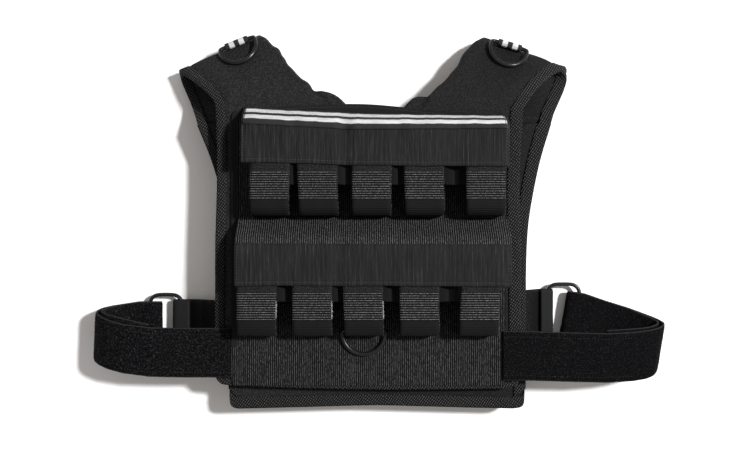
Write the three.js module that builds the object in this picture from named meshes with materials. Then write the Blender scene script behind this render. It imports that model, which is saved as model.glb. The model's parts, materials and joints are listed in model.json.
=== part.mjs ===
// A weighted training vest, lying on its back with its front side up.
// Millimetres. +Y is towards the shoulders and +Z is up. Left (-X) and right (+X) are as seen from above.
import * as THREE from "three";

// Play between two pieces that touch.
const GAP = 0.3;

// Padded panels. The sides table holds half widths and heights as shares of each panel's own.
const PANEL_THICKNESS = 7;
const EDGE_THICKNESS = 4.6;
const EDGE_RAMP = 7;
const TORSO_GAP = 7.5;
const FRONT_WIDTH = 309;
const FRONT_HEIGHT = 278;
const FRONT_CORNER = 11;
const BACK_WIDTH = 304;
const BACK_HEIGHT = 289;
const BACK_SHIFT = 8.9;
const BACK_TOP_BELOW_FRONT = 11;
const BACK_CORNER = 8;

// Edge tape: a folded strip whose two lips lie on both faces of a panel.
const BINDING_WALL = 1.2;
const BINDING_PLAY = 0.5;
// Play along the seams between the shoulder pads and the panels.
const SEAM_PLAY = 0.9;
const LIP = { left: 8, right: 11, frontBottom: 4.5, backBottom: 10 };

// Weights in two rows on the front, and stuffed pocket rows behind the back.
const WEIGHT = { width: 36, length: 88, thickness: 26, corner: 8, arcSteps: 3 };
const BACK_POCKET = { thickness: 31, length: 100, taper: 9, dip: 13, side: 11 };

// Cloth and webbing.
const CARRIER = { width: 275, thickness: 1.6, lift: 0.6, hem: 1.3, bottomInset: 4.5 };
const POCKET_BAND = { thickness: 1, length: 42, rise: { upper: 28.5, lower: 32 }, sag: 0.5 };
const LOOP = { width: 38, thickness: 1.8, corner: 11, top: 24 };
const FLAP = { thickness: 1.6, edgeDroop: 2.2, crease: 3.2 };
const FLAP_TAPE_THICKNESS = 1;

// The two rows on the carrier: bottom as a share of the front's height, measured from its middle,
// and the bars' middles as shares of the carrier's half width.
function weightRow(bottom, centres) {
  return { bottom: bottom * FRONT_HEIGHT, centres: centres.map((share) => (share * CARRIER.width) / 2) };
}
const ROWS = {
  upper: weightRow(0.135, [-0.705, -0.355, 0.021, 0.399, 0.835]),
  lower: weightRow(-0.291, [-0.797, -0.399, -0.033, 0.364, 0.785]),
};

// Metal rings. place is where a shoulder ring sits on its pad, from the arm edge to the neck edge.
const SHOULDER_RING = { wire: 4.5, half: 18.9, depth: 24.8, place: { left: 0.673, right: 0.62 } };
const CHEST_RING = { wire: 4.4, half: 21.8, depth: 24.3 };
const RING_CORNER = 3;
const RING_PLAY = 0.4;
const BELT_RING = { wire: 4, halfWidth: 17, halfLength: 32, corner: 10, height: 10 };
const RING_TAPE = { width: 25, thickness: 1.2 };

// Belts and the tabs that hold their rings.
const BELT = { width: 49.5, thickness: 3, reach: { left: 143, right: 166 }, rise: { left: 37.5, right: 34.6 } };
const TAB = { width: 46, thickness: 2.5, seam: 17, rise: 4, reach: { left: 51.4, right: 26.1 } };
const RING_RISE = { left: 83, right: 94 };

// Levels, from the ground up. Each is the middle of a layer.
const BACK_LEVEL = BACK_POCKET.thickness + GAP + PANEL_THICKNESS / 2;
const FRONT_LEVEL = BACK_LEVEL + PANEL_THICKNESS + TORSO_GAP;
const FRONT_FACE = FRONT_LEVEL + PANEL_THICKNESS / 2;
const CARRIER_LEVEL = FRONT_FACE + CARRIER.lift + CARRIER.thickness / 2;
const WEIGHT_SEAT = CARRIER_LEVEL + CARRIER.thickness / 2 + GAP;
const WEIGHT_TOP = WEIGHT_SEAT + WEIGHT.thickness;
const BAND_LEVEL = WEIGHT_TOP + GAP + POCKET_BAND.thickness / 2;
const LOOP_LEVEL = BAND_LEVEL + POCKET_BAND.thickness / 2 + GAP + LOOP.thickness / 2;
const FLAP_LEVEL = LOOP_LEVEL + LOOP.thickness / 2 + GAP + FLAP.thickness / 2;

const finish = (color, roughness, metalness = 0) =>
  new THREE.MeshStandardMaterial({ color, roughness, metalness, side: THREE.DoubleSide });
const NEOPRENE = finish(0x2a2b2e, 0.85);
const TWILL = finish(0x33343a, 0.9);
const WEBBING = finish(0x4b4c50, 0.7);
const RIBBED = finish(0x3b3c40, 0.85);
const NYLON = finish(0x2f3033, 0.6);
const FUZZY = finish(0x26272b, 0.95);
const REFLECTIVE = finish(0xc9ccd0, 0.45);
const BLACK_METAL = finish(0x15161a, 0.25, 1);
const IRON = finish(0x2b2b2d, 0.6, 0.6);

const vest = new THREE.Group();
vest.name = "weighted_vest";

function addPiece(name, geometry, material) {
  const mesh = new THREE.Mesh(geometry, material);
  mesh.name = name;
  vest.add(mesh);
}

const point = (x, y, z) => new THREE.Vector3(x, y, z);
const mix = THREE.MathUtils.lerp;
const X_AXIS = point(1, 0, 0);
const Y_AXIS = point(0, 1, 0);
const UP = point(0, 0, 1);

// A closed body from points and triangles, turned if needed so that its faces point out.
function closedBody(points, triangles) {
  let volume = 0;
  for (const [a, b, c] of triangles) {
    volume += points[a].dot(points[b].clone().cross(points[c])) / 6;
  }
  const outward = triangles.flatMap(([a, b, c]) => (volume < 0 ? [a, c, b] : [a, b, c]));
  const geometry = new THREE.BufferGeometry().setFromPoints(points);
  geometry.setIndex(outward);
  geometry.computeVertexNormals();
  return geometry;
}

// Joins equal rings of points into one body. A cap closes both ends, and null joins them.
function loft(sections, cap) {
  const ring = sections[0].length;
  const points = sections.flat();
  const triangles = [];
  const spans = cap ? sections.length - 1 : sections.length;
  for (let s = 0; s < spans; s++) {
    const here = s * ring;
    const next = ((s + 1) % sections.length) * ring;
    for (let k = 0; k < ring; k++) {
      const l = (k + 1) % ring;
      triangles.push([here + k, here + l, next + k], [here + l, next + l, next + k]);
    }
  }
  const end = points.length - ring;
  for (const [a, b, c] of cap ?? []) {
    triangles.push([a, c, b], [end + a, end + b, end + c]);
  }
  return closedBody(points, triangles);
}

// A closed sheet over a grid of columns and rows. faces(i, j) gives its outer and inner point.
function sheet(columns, rows, faces) {
  const points = [];
  for (let j = 0; j < rows; j++) {
    for (let i = 0; i < columns; i++) {
      points.push(...faces(i, j));
    }
  }
  const at = (i, j, face) => 2 * (j * columns + i) + face;
  const triangles = [];
  const quad = (a, b, c, d) => triangles.push([a, b, c], [a, c, d]);
  const right = columns - 1;
  const top = rows - 1;
  for (let j = 0; j < top; j++) {
    for (let i = 0; i < right; i++) {
      quad(at(i, j, 0), at(i + 1, j, 0), at(i + 1, j + 1, 0), at(i, j + 1, 0));
      quad(at(i, j, 1), at(i, j + 1, 1), at(i + 1, j + 1, 1), at(i + 1, j, 1));
    }
    quad(at(0, j, 0), at(0, j + 1, 0), at(0, j + 1, 1), at(0, j, 1));
    quad(at(right, j, 1), at(right, j + 1, 1), at(right, j + 1, 0), at(right, j, 0));
  }
  for (let i = 0; i < right; i++) {
    quad(at(i, 0, 1), at(i + 1, 0, 1), at(i + 1, 0, 0), at(i, 0, 0));
    quad(at(i, top, 0), at(i + 1, top, 0), at(i + 1, top, 1), at(i, top, 1));
  }
  return closedBody(points, triangles);
}

// A flat strap along a path, with its width along one axis. widths may narrow it at an end.
function strap(path, axis, width, thickness, widths = []) {
  const sections = path.map((p, i) => {
    const along = path[Math.min(i + 1, path.length - 1)].clone().sub(path[Math.max(i - 1, 0)]);
    const face = along.cross(axis).normalize().multiplyScalar(thickness / 2);
    const side = axis.clone().multiplyScalar((width / 2) * (widths[i] ?? 1));
    return [
      p.clone().add(side).add(face),
      p.clone().sub(side).add(face),
      p.clone().sub(side).sub(face),
      p.clone().add(side).sub(face),
    ];
  });
  return loft(sections, [
    [0, 1, 2],
    [0, 2, 3],
  ]);
}

// A round wire along a closed flat loop. sides is the number of flats round the wire.
function wireLoop(loop, planeNormal, wire, sides = 8) {
  const sections = loop.map((p, i) => {
    const before = loop[(i + loop.length - 1) % loop.length];
    const after = loop[(i + 1) % loop.length];
    const out = after.clone().sub(before).cross(planeNormal).normalize();
    return Array.from({ length: sides }, (_, k) => {
      const turn = (2 * Math.PI * (k + 0.5)) / sides;
      return p
        .clone()
        .addScaledVector(out, (wire / 2) * Math.cos(turn))
        .addScaledVector(planeNormal, (wire / 2) * Math.sin(turn));
    });
  });
  return loft(sections, null);
}

// Reads a short table by straight lines between its rows.
function readTable(rows, key, at, value) {
  const last = rows.length - 1;
  let i = 0;
  while (i < last - 1 && at > rows[i + 1][key]) i++;
  const share = (at - rows[i][key]) / (rows[i + 1][key] - rows[i][key]);
  return mix(rows[i][value], rows[i + 1][value], THREE.MathUtils.clamp(share, 0, 1));
}

// Outline of the front: half widths as shares of half the front's width, up as a share of its height.
const FRONT_SIDES = [
  { up: 0, left: 1.01, right: 1 },
  { up: 0.2, left: 1, right: 1 },
  { up: 0.5, left: 1, right: 1 },
  { up: 0.7, left: 0.985, right: 0.98 },
  { up: 0.9, left: 0.985, right: 0.998 },
  { up: 1, left: 0.995, right: 1.008 },
];
// Its bottom and top edges: rises as shares of the height, across as a share of half the width.
const FRONT_ENDS = [
  { across: -1, bottom: 0.018, top: 0 },
  { across: -0.8, bottom: 0.014, top: 0.016 },
  { across: -0.45, bottom: 0.006, top: 0.031 },
  { across: 0, bottom: 0.001, top: 0.035 },
  { across: 0.22, bottom: 0, top: 0.022 },
  { across: 0.4, bottom: 0.001, top: 0.011 },
  { across: 0.9, bottom: 0.004, top: -0.008 },
  { across: 1, bottom: 0.008, top: -0.006 },
];
// Outline of the back, which widens towards the shoulders.
const BACK_SIDES = [
  { up: 0, left: 1, right: 1 },
  { up: 0.4, left: 1, right: 1 },
  { up: 0.62, left: 1.01, right: 1.005 },
  { up: 0.73, left: 1.035, right: 1.04 },
  { up: 0.84, left: 1.082, right: 1.08 },
  { up: 0.94, left: 1.158, right: 1.118 },
  { up: 1, left: 1.207, right: 1.168 },
];
const BACK_ENDS = [
  { across: -1, bottom: 0, top: 0 },
  { across: -0.4, bottom: 0.008, top: -0.01 },
  { across: 0, bottom: 0.014, top: -0.04 },
  { across: 0.4, bottom: 0.008, top: -0.01 },
  { across: 1, bottom: 0, top: 0 },
];

const BINDING_DEPTH = BINDING_PLAY + BINDING_WALL;

// A flat panel as a surface of two shares: across from left to right, and up from bottom to top.
function flatPanel({ width, height, middle, bottom, level, corner, sides, ends }) {
  const half = width / 2;
  const endRise = (x, key) => height * readTable(ends, "across", (x - middle) / half, key);
  const cornerRise = (fromSide) => {
    const inside = corner - THREE.MathUtils.clamp(fromSide, 0, corner);
    return corner - Math.sqrt(corner ** 2 - inside ** 2);
  };
  return (across, up) => {
    const left = middle - half * readTable(sides, "up", up, "left") + BINDING_DEPTH;
    const right = middle + half * readTable(sides, "up", up, "right") - BINDING_DEPTH;
    const x = mix(left, right, across);
    const fromSide = Math.min(across, 1 - across) * (right - left);
    const low = bottom + BINDING_DEPTH + endRise(x, "bottom") + cornerRise(fromSide);
    const high = bottom + height + endRise(x, "top");
    return point(x, mix(low, high, up), level);
  };
}

const FRONT_BOTTOM = -FRONT_HEIGHT / 2;
const FRONT_TOP = FRONT_HEIGHT / 2;
const BACK_TOP = FRONT_TOP - BACK_TOP_BELOW_FRONT;
const frontSurface = flatPanel({
  width: FRONT_WIDTH,
  height: FRONT_HEIGHT,
  middle: 0,
  bottom: FRONT_BOTTOM,
  level: FRONT_LEVEL,
  corner: FRONT_CORNER,
  sides: FRONT_SIDES,
  ends: FRONT_ENDS,
});
const backSurface = flatPanel({
  width: BACK_WIDTH,
  height: BACK_HEIGHT,
  middle: BACK_SHIFT,
  bottom: BACK_TOP - BACK_HEIGHT,
  level: BACK_LEVEL,
  corner: BACK_CORNER,
  sides: BACK_SIDES,
  ends: BACK_ENDS,
});

// Shares along an edge: close together round a corner, in the bound lips and in the ramps.
const CORNER_SHARES = [0, 0.15, 0.5];
const LIP_MARGIN = 1;
function stations(length, lowLip, highLip, corner, between) {
  const cornerMarks = CORNER_SHARES.map((share) => share * corner);
  const marks = [...cornerMarks, lowLip + LIP_MARGIN, lowLip + EDGE_RAMP];
  const first = marks[marks.length - 1];
  const last = highLip ? length - highLip - EDGE_RAMP : length;
  for (let k = 1; k <= between; k++) marks.push(mix(first, last, k / between));
  if (highLip) {
    marks.push(length - highLip - LIP_MARGIN);
    marks.push(...cornerMarks.map((mark) => length - mark).reverse());
  }
  return marks.map((mark) => mark / length);
}

// The panel's body: full thickness in the middle, thin where the edge tape folds over it.
function addPanel(name, surface, width, height, bottomLip, corner) {
  const wide = width - 2 * BINDING_DEPTH;
  const tall = height - BINDING_DEPTH;
  const across = stations(wide, LIP.left, LIP.right, corner, 8);
  const up = stations(tall, bottomLip, 0, 0, 8).slice(CORNER_SHARES.length - 1);
  const near = (distance, lip) => distance < lip + 1.5 * LIP_MARGIN;
  const bound = (i, j) =>
    near(across[i] * wide, LIP.left) ||
    near((1 - across[i]) * wide, LIP.right) ||
    near(up[j] * tall, bottomLip);
  const body = sheet(across.length, up.length, (i, j) => {
    const middle = surface(across[i], up[j]);
    const half = (bound(i, j) ? EDGE_THICKNESS : PANEL_THICKNESS) / 2;
    return [middle.clone().addScaledVector(UP, half), middle.clone().addScaledVector(UP, -half)];
  });
  addPiece(name, body, NEOPRENE);
  return { across, up };
}

const frontGrid = addPanel(
  "front_panel",
  frontSurface,
  FRONT_WIDTH,
  FRONT_HEIGHT,
  LIP.frontBottom,
  FRONT_CORNER,
);
const backGrid = addPanel(
  "back_panel",
  backSurface,
  BACK_WIDTH,
  BACK_HEIGHT,
  LIP.backBottom,
  BACK_CORNER,
);

// Shoulder pads. Each row is one section from the front seam over the fold to the back seam:
// outer and inner ends as shares of the front's half width and of the strap's reach above it,
// level as a share of the panel's level that the row belongs to.
const STRAP_REACH = 80;
const PAD_THICKNESS = 10;
const PAD_NECK_EDGE = 3;
const PAD_ROWS = {
  left: [
    { outer: [0.995, 0.01], inner: [0.14, 0.13], level: 1, full: 0.7 },
    { outer: [0.996, 0.05], inner: [0.175, 0.205], level: 0.999, full: 0.7 },
    { outer: [0.998, 0.1], inner: [0.26, 0.272], level: 0.992, full: 0.78 },
    { outer: [1.007, 0.155], inner: [0.35, 0.29], level: 0.978, full: 0.88 },
    { outer: [1.027, 0.215], inner: [0.405, 0.375], level: 0.95, full: 1 },
    { outer: [1.062, 0.29], inner: [0.46, 0.475], level: 0.9, full: 1 },
    { outer: [1.112, 0.38], inner: [0.52, 0.615], level: 0.815, full: 1 },
    { outer: [1.158, 0.452], inner: [0.57, 0.755], level: 0.7, full: 1 },
    { outer: [1.205, 0.52], inner: [0.635, 0.885], level: 0.56, full: 1 },
    { outer: [1.25, 0.575], inner: [0.685, 1], level: 0.475, full: 1 },
    { outer: [1.27, 0.575], inner: [0.71, 1.025], level: 0.35, full: 1 },
    { outer: [1.275, 0.54], inner: [0.715, 1], level: 0.225, full: 1 },
  ],
  right: [
    { outer: [1.006, -0.03], inner: [0.225, 0.08], level: 1, full: 0.7 },
    { outer: [1.007, 0.02], inner: [0.262, 0.156], level: 0.999, full: 0.7 },
    { outer: [1.017, 0.07], inner: [0.307, 0.2], level: 0.992, full: 0.78 },
    { outer: [1.033, 0.125], inner: [0.377, 0.182], level: 0.978, full: 0.88 },
    { outer: [1.056, 0.195], inner: [0.411, 0.244], level: 0.95, full: 1 },
    { outer: [1.09, 0.285], inner: [0.473, 0.341], level: 0.9, full: 1 },
    { outer: [1.14, 0.39], inner: [0.544, 0.481], level: 0.815, full: 1 },
    { outer: [1.2, 0.5], inner: [0.61, 0.65], level: 0.7, full: 1 },
    { outer: [1.26, 0.585], inner: [0.66, 0.845], level: 0.56, full: 1 },
    { outer: [1.305, 0.62], inner: [0.715, 0.955], level: 0.475, full: 1 },
    { outer: [1.33, 0.605], inner: [0.755, 0.995], level: 0.35, full: 1 },
    { outer: [1.345, 0.565], inner: [0.768, 0.97], level: 0.225, full: 1 },
  ],
};
const PAD_BACK_ROWS = {
  left: [
    { outer: [1.272, 0.5], inner: [0.71, 0.965], level: 0.225, full: 1 },
    { outer: [1.25, 0.385], inner: [0.68, 0.86], level: 0.185, full: 1 },
    { outer: [1.212, 0.235], inner: [0.642, 0.69], level: 0.25, full: 1 },
    { outer: [1.182, 0.105], inner: [0.6, 0.505], level: 0.42, full: 1 },
    { outer: [1.158, 0], inner: [0.557, 0.285], level: 0.65, full: 0.9 },
    { outer: [1.14, -0.08], inner: [0.518, 0.072], level: 0.87, full: 0.78 },
    { outer: [1.128, -0.134], inner: [0.486, -0.134], level: 1, full: 0.7 },
  ],
  right: [
    { outer: [1.352, 0.51], inner: [0.762, 0.905], level: 0.225, full: 1 },
    { outer: [1.342, 0.425], inner: [0.744, 0.8], level: 0.185, full: 1 },
    { outer: [1.316, 0.3], inner: [0.722, 0.64], level: 0.25, full: 1 },
    { outer: [1.28, 0.165], inner: [0.68, 0.44], level: 0.42, full: 1 },
    { outer: [1.242, 0.035], inner: [0.645, 0.24], level: 0.65, full: 0.9 },
    { outer: [1.223, -0.056], inner: [0.61, 0.05], level: 0.87, full: 0.78 },
    { outer: [1.207, -0.134], inner: [0.57, -0.134], level: 1, full: 0.7 },
  ],
};

// One pad as a surface: across from its arm edge to its neck edge, row along the table.
function shoulderPad(side) {
  const turn = side === "left" ? -1 : 1;
  const place = ([x, y], z) =>
    point(turn * x * (FRONT_WIDTH / 2 - BINDING_DEPTH), FRONT_TOP + y * STRAP_REACH, z);
  const front = PAD_ROWS[side].map((row) => ({ ...row, z: row.level * FRONT_LEVEL }));
  const back = PAD_BACK_ROWS[side].map((row) => ({ ...row, z: row.level * BACK_LEVEL }));
  const rows = [...front, ...back];
  const ends = rows.map((row) => [place(row.outer, row.z), place(row.inner, row.z)]);
  const last = rows.length - 1;
  const seam = (end, surface) => {
    const across = (end.x - surface(0, 1).x) / (surface(1, 1).x - surface(0, 1).x);
    return surface(across, 1).addScaledVector(Y_AXIS, SEAM_PLAY);
  };
  const onRow = (across, row) => {
    const spot = ends[row][0].clone().lerp(ends[row][1], across);
    if (row === 0) return seam(spot, frontSurface);
    if (row === last) return seam(spot, backSurface);
    return spot;
  };
  const surface = (across, row) => {
    const low = Math.min(Math.floor(row), last - 1);
    return onRow(across, low).lerp(onRow(across, low + 1), row - low);
  };
  const width = (row) => surface(0, row).distanceTo(surface(1, row));
  const normal = (across, row) => {
    const step = 0.02;
    const wide = surface(Math.min(across + step, 1), row).sub(surface(Math.max(across - step, 0), row));
    const ahead = surface(across, Math.min(row + step, last));
    const behind = surface(across, Math.max(row - step, 0));
    const long = ahead.distanceTo(behind) ? ahead.clone().sub(behind) : Y_AXIS.clone();
    return wide.cross(long).multiplyScalar(-turn).normalize();
  };
  const full = (row) => {
    const low = Math.min(Math.floor(row), last - 1);
    return PAD_THICKNESS * mix(rows[low].full, rows[low + 1].full, row - low);
  };
  return { surface, width, normal, full, rows: rows.length, fold: front.length - 1, last };
}

const PADS = { left: shoulderPad("left"), right: shoulderPad("right") };

function addShoulderPad(side) {
  const pad = PADS[side];
  const lip = LIP[side];
  const columns = (row) => {
    const width = pad.width(row);
    const near = (lip + EDGE_RAMP) / width;
    const neck = 1 - PAD_NECK_EDGE / width;
    return [0, (lip + 1) / width, near, mix(near, neck, 0.4), mix(near, neck, 0.75), neck, 1];
  };
  const body = sheet(7, pad.rows, (i, j) => {
    const across = columns(j)[i];
    const middle = pad.surface(across, j);
    const normal = j === 0 || j === pad.last ? UP : pad.normal(across, j);
    const half = (i < 2 ? EDGE_THICKNESS : i === 6 ? PAD_NECK_EDGE : pad.full(j)) / 2;
    return [middle.clone().addScaledVector(normal, half), middle.clone().addScaledVector(normal, -half)];
  });
  addPiece(`shoulder_pad_${side}`, body, NEOPRENE);
}

addShoulderPad("left");
addShoulderPad("right");

// One section of edge tape: a U round the bound edge, with a lip on each face.
function bindingSection(edge, edgeNormal, lip, lipNormal) {
  const out = edge.clone().sub(lip).normalize();
  const inside = EDGE_THICKNESS / 2 + BINDING_PLAY;
  const outside = inside + BINDING_WALL;
  const offset = (base, normal, height, reach) =>
    base.clone().addScaledVector(normal, height).addScaledVector(out, reach);
  return [
    offset(lip, lipNormal, outside, 0),
    offset(edge, edgeNormal, outside, BINDING_DEPTH),
    offset(edge, edgeNormal, -outside, BINDING_DEPTH),
    offset(lip, lipNormal, -outside, 0),
    offset(lip, lipNormal, -inside, 0),
    offset(edge, edgeNormal, -inside, BINDING_PLAY),
    offset(edge, edgeNormal, inside, BINDING_PLAY),
    offset(lip, lipNormal, inside, 0),
  ];
}
const BINDING_CAP = [
  [0, 1, 6],
  [0, 6, 7],
  [1, 2, 5],
  [1, 5, 6],
  [2, 3, 4],
  [2, 4, 5],
];

function panelSideSections(surface, grid, side, bottomLip, height) {
  const edge = side === "left" ? 0 : 1;
  const lipShare = Math.abs(edge - (LIP[side] + GAP) / (FRONT_WIDTH - 2 * BINDING_DEPTH));
  const first = (bottomLip + 2 * GAP) / height;
  return [first, ...grid.up.slice(2)].map((up) => {
    return bindingSection(surface(edge, up), UP, surface(lipShare, up), UP);
  });
}

function padSections(side, rows) {
  const pad = PADS[side];
  return rows.map((row) => {
    const lipShare = LIP[side] / pad.width(row);
    const seam = row === 0 || row === pad.last;
    const direction = row === 0 ? UP : UP.clone().negate();
    const edgeNormal = seam ? direction : pad.normal(0, row);
    const lipNormal = seam ? direction : pad.normal(lipShare, row);
    return bindingSection(pad.surface(0, row), edgeNormal, pad.surface(lipShare, row), lipNormal);
  });
}

function addSideBindings(side) {
  const pad = PADS[side];
  const rowsBetween = (from, to) => Array.from({ length: to - from + 1 }, (_, k) => from + k);
  const meet = 0.2;
  const frontSide = panelSideSections(frontSurface, frontGrid, side, LIP.frontBottom, FRONT_HEIGHT);
  const backSide = panelSideSections(backSurface, backGrid, side, LIP.backBottom, BACK_HEIGHT);
  const overFold = padSections(side, [...rowsBetween(0, pad.fold - 1), pad.fold - meet]);
  const downBack = padSections(side, [pad.fold + meet, ...rowsBetween(pad.fold + 1, pad.last)]);
  // The back panel's sections face down, as the pad's do after the fold.
  const flipped = backSide.reverse().map(([a, b, c, d, e, f, g, h]) => [d, c, b, a, h, g, f, e]);
  addPiece(`binding_front_${side}`, loft([...frontSide, ...overFold], BINDING_CAP), TWILL);
  addPiece(`binding_back_${side}`, loft([...downBack, ...flipped], BINDING_CAP), TWILL);
}

addSideBindings("left");
addSideBindings("right");

function addBottomBinding(name, surface, grid, lipShare) {
  const sections = grid.across.map((share) => {
    return bindingSection(surface(share, 0), UP, surface(share, lipShare), UP);
  });
  addPiece(name, loft(sections, BINDING_CAP), TWILL);
}

addBottomBinding("binding_front_bottom", frontSurface, frontGrid, LIP.frontBottom / FRONT_HEIGHT);
addBottomBinding("binding_back_bottom", backSurface, backGrid, LIP.backBottom / BACK_HEIGHT);

// The woven carrier sheet, sewn to the front along its curved top hem.
function addCarrier() {
  const columns = 12;
  const half = CARRIER.width / 2;
  const low = FRONT_BOTTOM + CARRIER.bottomInset;
  const body = sheet(columns, 2, (i, j) => {
    const x = mix(-half, half, i / (columns - 1));
    const rise = FRONT_HEIGHT * readTable(FRONT_ENDS, "across", (2 * x) / FRONT_WIDTH, "top");
    const y = j ? FRONT_TOP + rise - CARRIER.hem : low;
    const lift = CARRIER.thickness / 2;
    return [point(x, y, CARRIER_LEVEL + lift), point(x, y, CARRIER_LEVEL - lift)];
  });
  addPiece("carrier", body, RIBBED);
}

addCarrier();

// An iron bar lying on the carrier: a rounded outline seen from the side, as wide as the bar.
function weightBar(centre, bottom) {
  const { width, length, thickness, corner, arcSteps } = WEIGHT;
  const outline = new THREE.Shape();
  outline.absarc(bottom + length - corner, WEIGHT_SEAT + corner, corner, -Math.PI / 2, 0);
  outline.absarc(bottom + length - corner, WEIGHT_TOP - corner, corner, 0, Math.PI / 2);
  outline.absarc(bottom + corner, WEIGHT_TOP - corner, corner, Math.PI / 2, Math.PI);
  outline.absarc(bottom + corner, WEIGHT_SEAT + corner, corner, Math.PI, 1.5 * Math.PI);
  const geometry = new THREE.ExtrudeGeometry(outline, {
    depth: width,
    bevelEnabled: false,
    curveSegments: arcSteps,
  });
  geometry.applyMatrix4(new THREE.Matrix4().makeBasis(Y_AXIS, UP, X_AXIS));
  geometry.translate(centre - width / 2, 0, 0);
  return geometry;
}

// A webbing loop: over the bar from under the flap, round its lower end and down to the carrier.
function loopPath(centre, endFace, top) {
  const y = endFace - GAP - LOOP.thickness / 2;
  const corner = LOOP.corner;
  const path = [point(centre, top, LOOP_LEVEL), point(centre, mix(top, y, 0.4), LOOP_LEVEL)];
  const steps = 5;
  for (let k = 0; k <= steps; k++) {
    const turn = ((Math.PI / 2) * k) / steps;
    path.push(
      point(
        centre,
        y + corner * (1 - Math.sin(turn)),
        LOOP_LEVEL - corner * (1 - Math.cos(turn)),
      ),
    );
  }
  path.push(point(centre, y, WEIGHT_SEAT));
  return path;
}

const CHEST_RING_LOOP = { row: "lower", number: 3 };
const CHEST_BAR_ROOM = CHEST_RING.wire + 2 * RING_PLAY;

function addWeights(row) {
  const { bottom, centres } = ROWS[row];
  centres.forEach((centre, index) => {
    const number = index + 1;
    const holdsRing = row === CHEST_RING_LOOP.row && number === CHEST_RING_LOOP.number;
    const start = holdsRing ? bottom + CHEST_BAR_ROOM - GAP : bottom;
    const top = bottom + WEIGHT.length - LOOP.top;
    addPiece(`weight_${row}_${number}`, weightBar(centre, start), IRON);
    const loop = strap(loopPath(centre, bottom, top), X_AXIS, LOOP.width, LOOP.thickness);
    addPiece(`weight_loop_${row}_${number}`, loop, WEBBING);
  });
}

addWeights("upper");
addWeights("lower");

// A smooth band over the bars of one row, dipping between them and ending on the carrier.
function bandPath(centres, y) {
  const beside = WEIGHT.width / 2 + GAP + POCKET_BAND.thickness / 2;
  const path = [];
  const first = centres[0] - beside;
  const last = centres[centres.length - 1] + beside;
  path.push(point(first - 3, y, WEIGHT_SEAT + 1));
  path.push(point(first - 0.5, y, WEIGHT_TOP - 3));
  centres.forEach((centre, index) => {
    path.push(point(centre - beside, y, BAND_LEVEL));
    path.push(point(centre + beside, y, BAND_LEVEL));
    const next = centres[index + 1];
    if (next === undefined) return;
    const room = next - centre - 2 * beside;
    for (const share of [0.2, 0.5, 0.8]) {
      const dip = POCKET_BAND.sag * room * Math.sin(Math.PI * share);
      path.push(point(centre + beside + room * share, y, BAND_LEVEL - dip));
    }
  });
  path.push(point(last + 0.5, y, WEIGHT_TOP - 3));
  path.push(point(last + 3, y, WEIGHT_SEAT + 1));
  return path;
}

function addPocketBand(row, low) {
  const middle = low + POCKET_BAND.length / 2;
  const body = strap(bandPath(ROWS[row].centres, middle), Y_AXIS, POCKET_BAND.length, POCKET_BAND.thickness);
  addPiece(`pocket_band_${row}`, body, NYLON);
}

for (const row of ["upper", "lower"]) addPocketBand(row, ROWS[row].bottom + POCKET_BAND.rise[row]);

// Flaps over the tops of the rows. Rows run from the sewn top edge down to the free edge:
// out is how far from the bars' end, as a share of the slope's run, and level is a share of
// the way from the carrier to the top of the loops. beyond is how far a flap goes past the
// middles of its outer bars, and free how far its free edge is from the row's lower end.
const FLAPS = {
  upper: {
    beyond: { left: 27.6, right: 23 },
    run: 12.5,
    free: 47,
    leftRise: 7,
    rightRise: -2,
    crease: { left: 0.9, own: 1 },
  },
  lower: {
    beyond: { left: 21, right: 32 },
    run: 27.5,
    free: 48,
    leftRise: 0.3,
    rightRise: -2,
    crease: { left: 0.5, own: 0.45 },
  },
};
const FLAP_ROWS = [
  { out: 1, level: 0 },
  { out: 0.92, level: 0.06 },
  { out: 0.62, level: 0.38 },
  { out: 0.26, level: 0.8 },
  { out: -0.14, level: 0.955 },
  { out: -0.55, level: 1 },
];
const FLAP_REST_ROWS = [0.35, 0.7, 1];

// Where a flap's columns stand: its ends, the sides of each bar and the middle of each gap.
function flapColumns(flap, centres) {
  const beside = LOOP.width / 2;
  const marks = [centres[0] - flap.beyond.left];
  centres.forEach((centre, index) => {
    marks.push(centre - beside, centre + beside);
    if (centres[index + 1] !== undefined) marks.push((centre + centres[index + 1]) / 2);
  });
  marks.push(centres[centres.length - 1] + flap.beyond.right);
  return marks;
}

// One flap as a function of column and row, with its sag between the bars.
function flapSurface(row) {
  const flap = FLAPS[row];
  const { centres, bottom } = ROWS[row];
  const end = bottom + WEIGHT.length;
  const foot = WEIGHT_SEAT + FLAP.thickness / 2;
  const columns = flapColumns(flap, centres);
  const count = FLAP_ROWS.length + FLAP_REST_ROWS.length;
  const sag = (i) => {
    if (i === 0 || i === columns.length - 1) return FLAP.edgeDroop;
    const betweenBars = i % 3 === 0;
    if (!betweenBars) return 0;
    const deepest = i === 6;
    return FLAP.crease * (deepest ? flap.crease.own : flap.crease.left * 0.4);
  };
  const place = (i, j) => {
    const x = columns[i];
    const tilt = x < 0 ? (flap.leftRise * x) / columns[0] : (flap.rightRise * x) / columns[columns.length - 1];
    if (j < FLAP_ROWS.length) {
      const { out, level } = FLAP_ROWS[j];
      const y = end + flap.run * out + tilt * Math.max(out, 0);
      return point(x, y, mix(foot, FLAP_LEVEL, level) - sag(i) * level * level);
    }
    const share = FLAP_REST_ROWS[j - FLAP_ROWS.length];
    const seam = end + flap.run * FLAP_ROWS[FLAP_ROWS.length - 1].out;
    return point(x, mix(seam, bottom + flap.free + tilt * 0.5, share), FLAP_LEVEL - sag(i));
  };
  const normal = (i, j) => {
    const wide = place(Math.min(i + 1, columns.length - 1), j).sub(place(Math.max(i - 1, 0), j));
    const long = place(i, Math.max(j - 1, 0)).sub(place(i, Math.min(j + 1, count - 1)));
    return wide.cross(long).normalize();
  };
  return { place, normal, columns: columns.length, rows: count };
}

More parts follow.
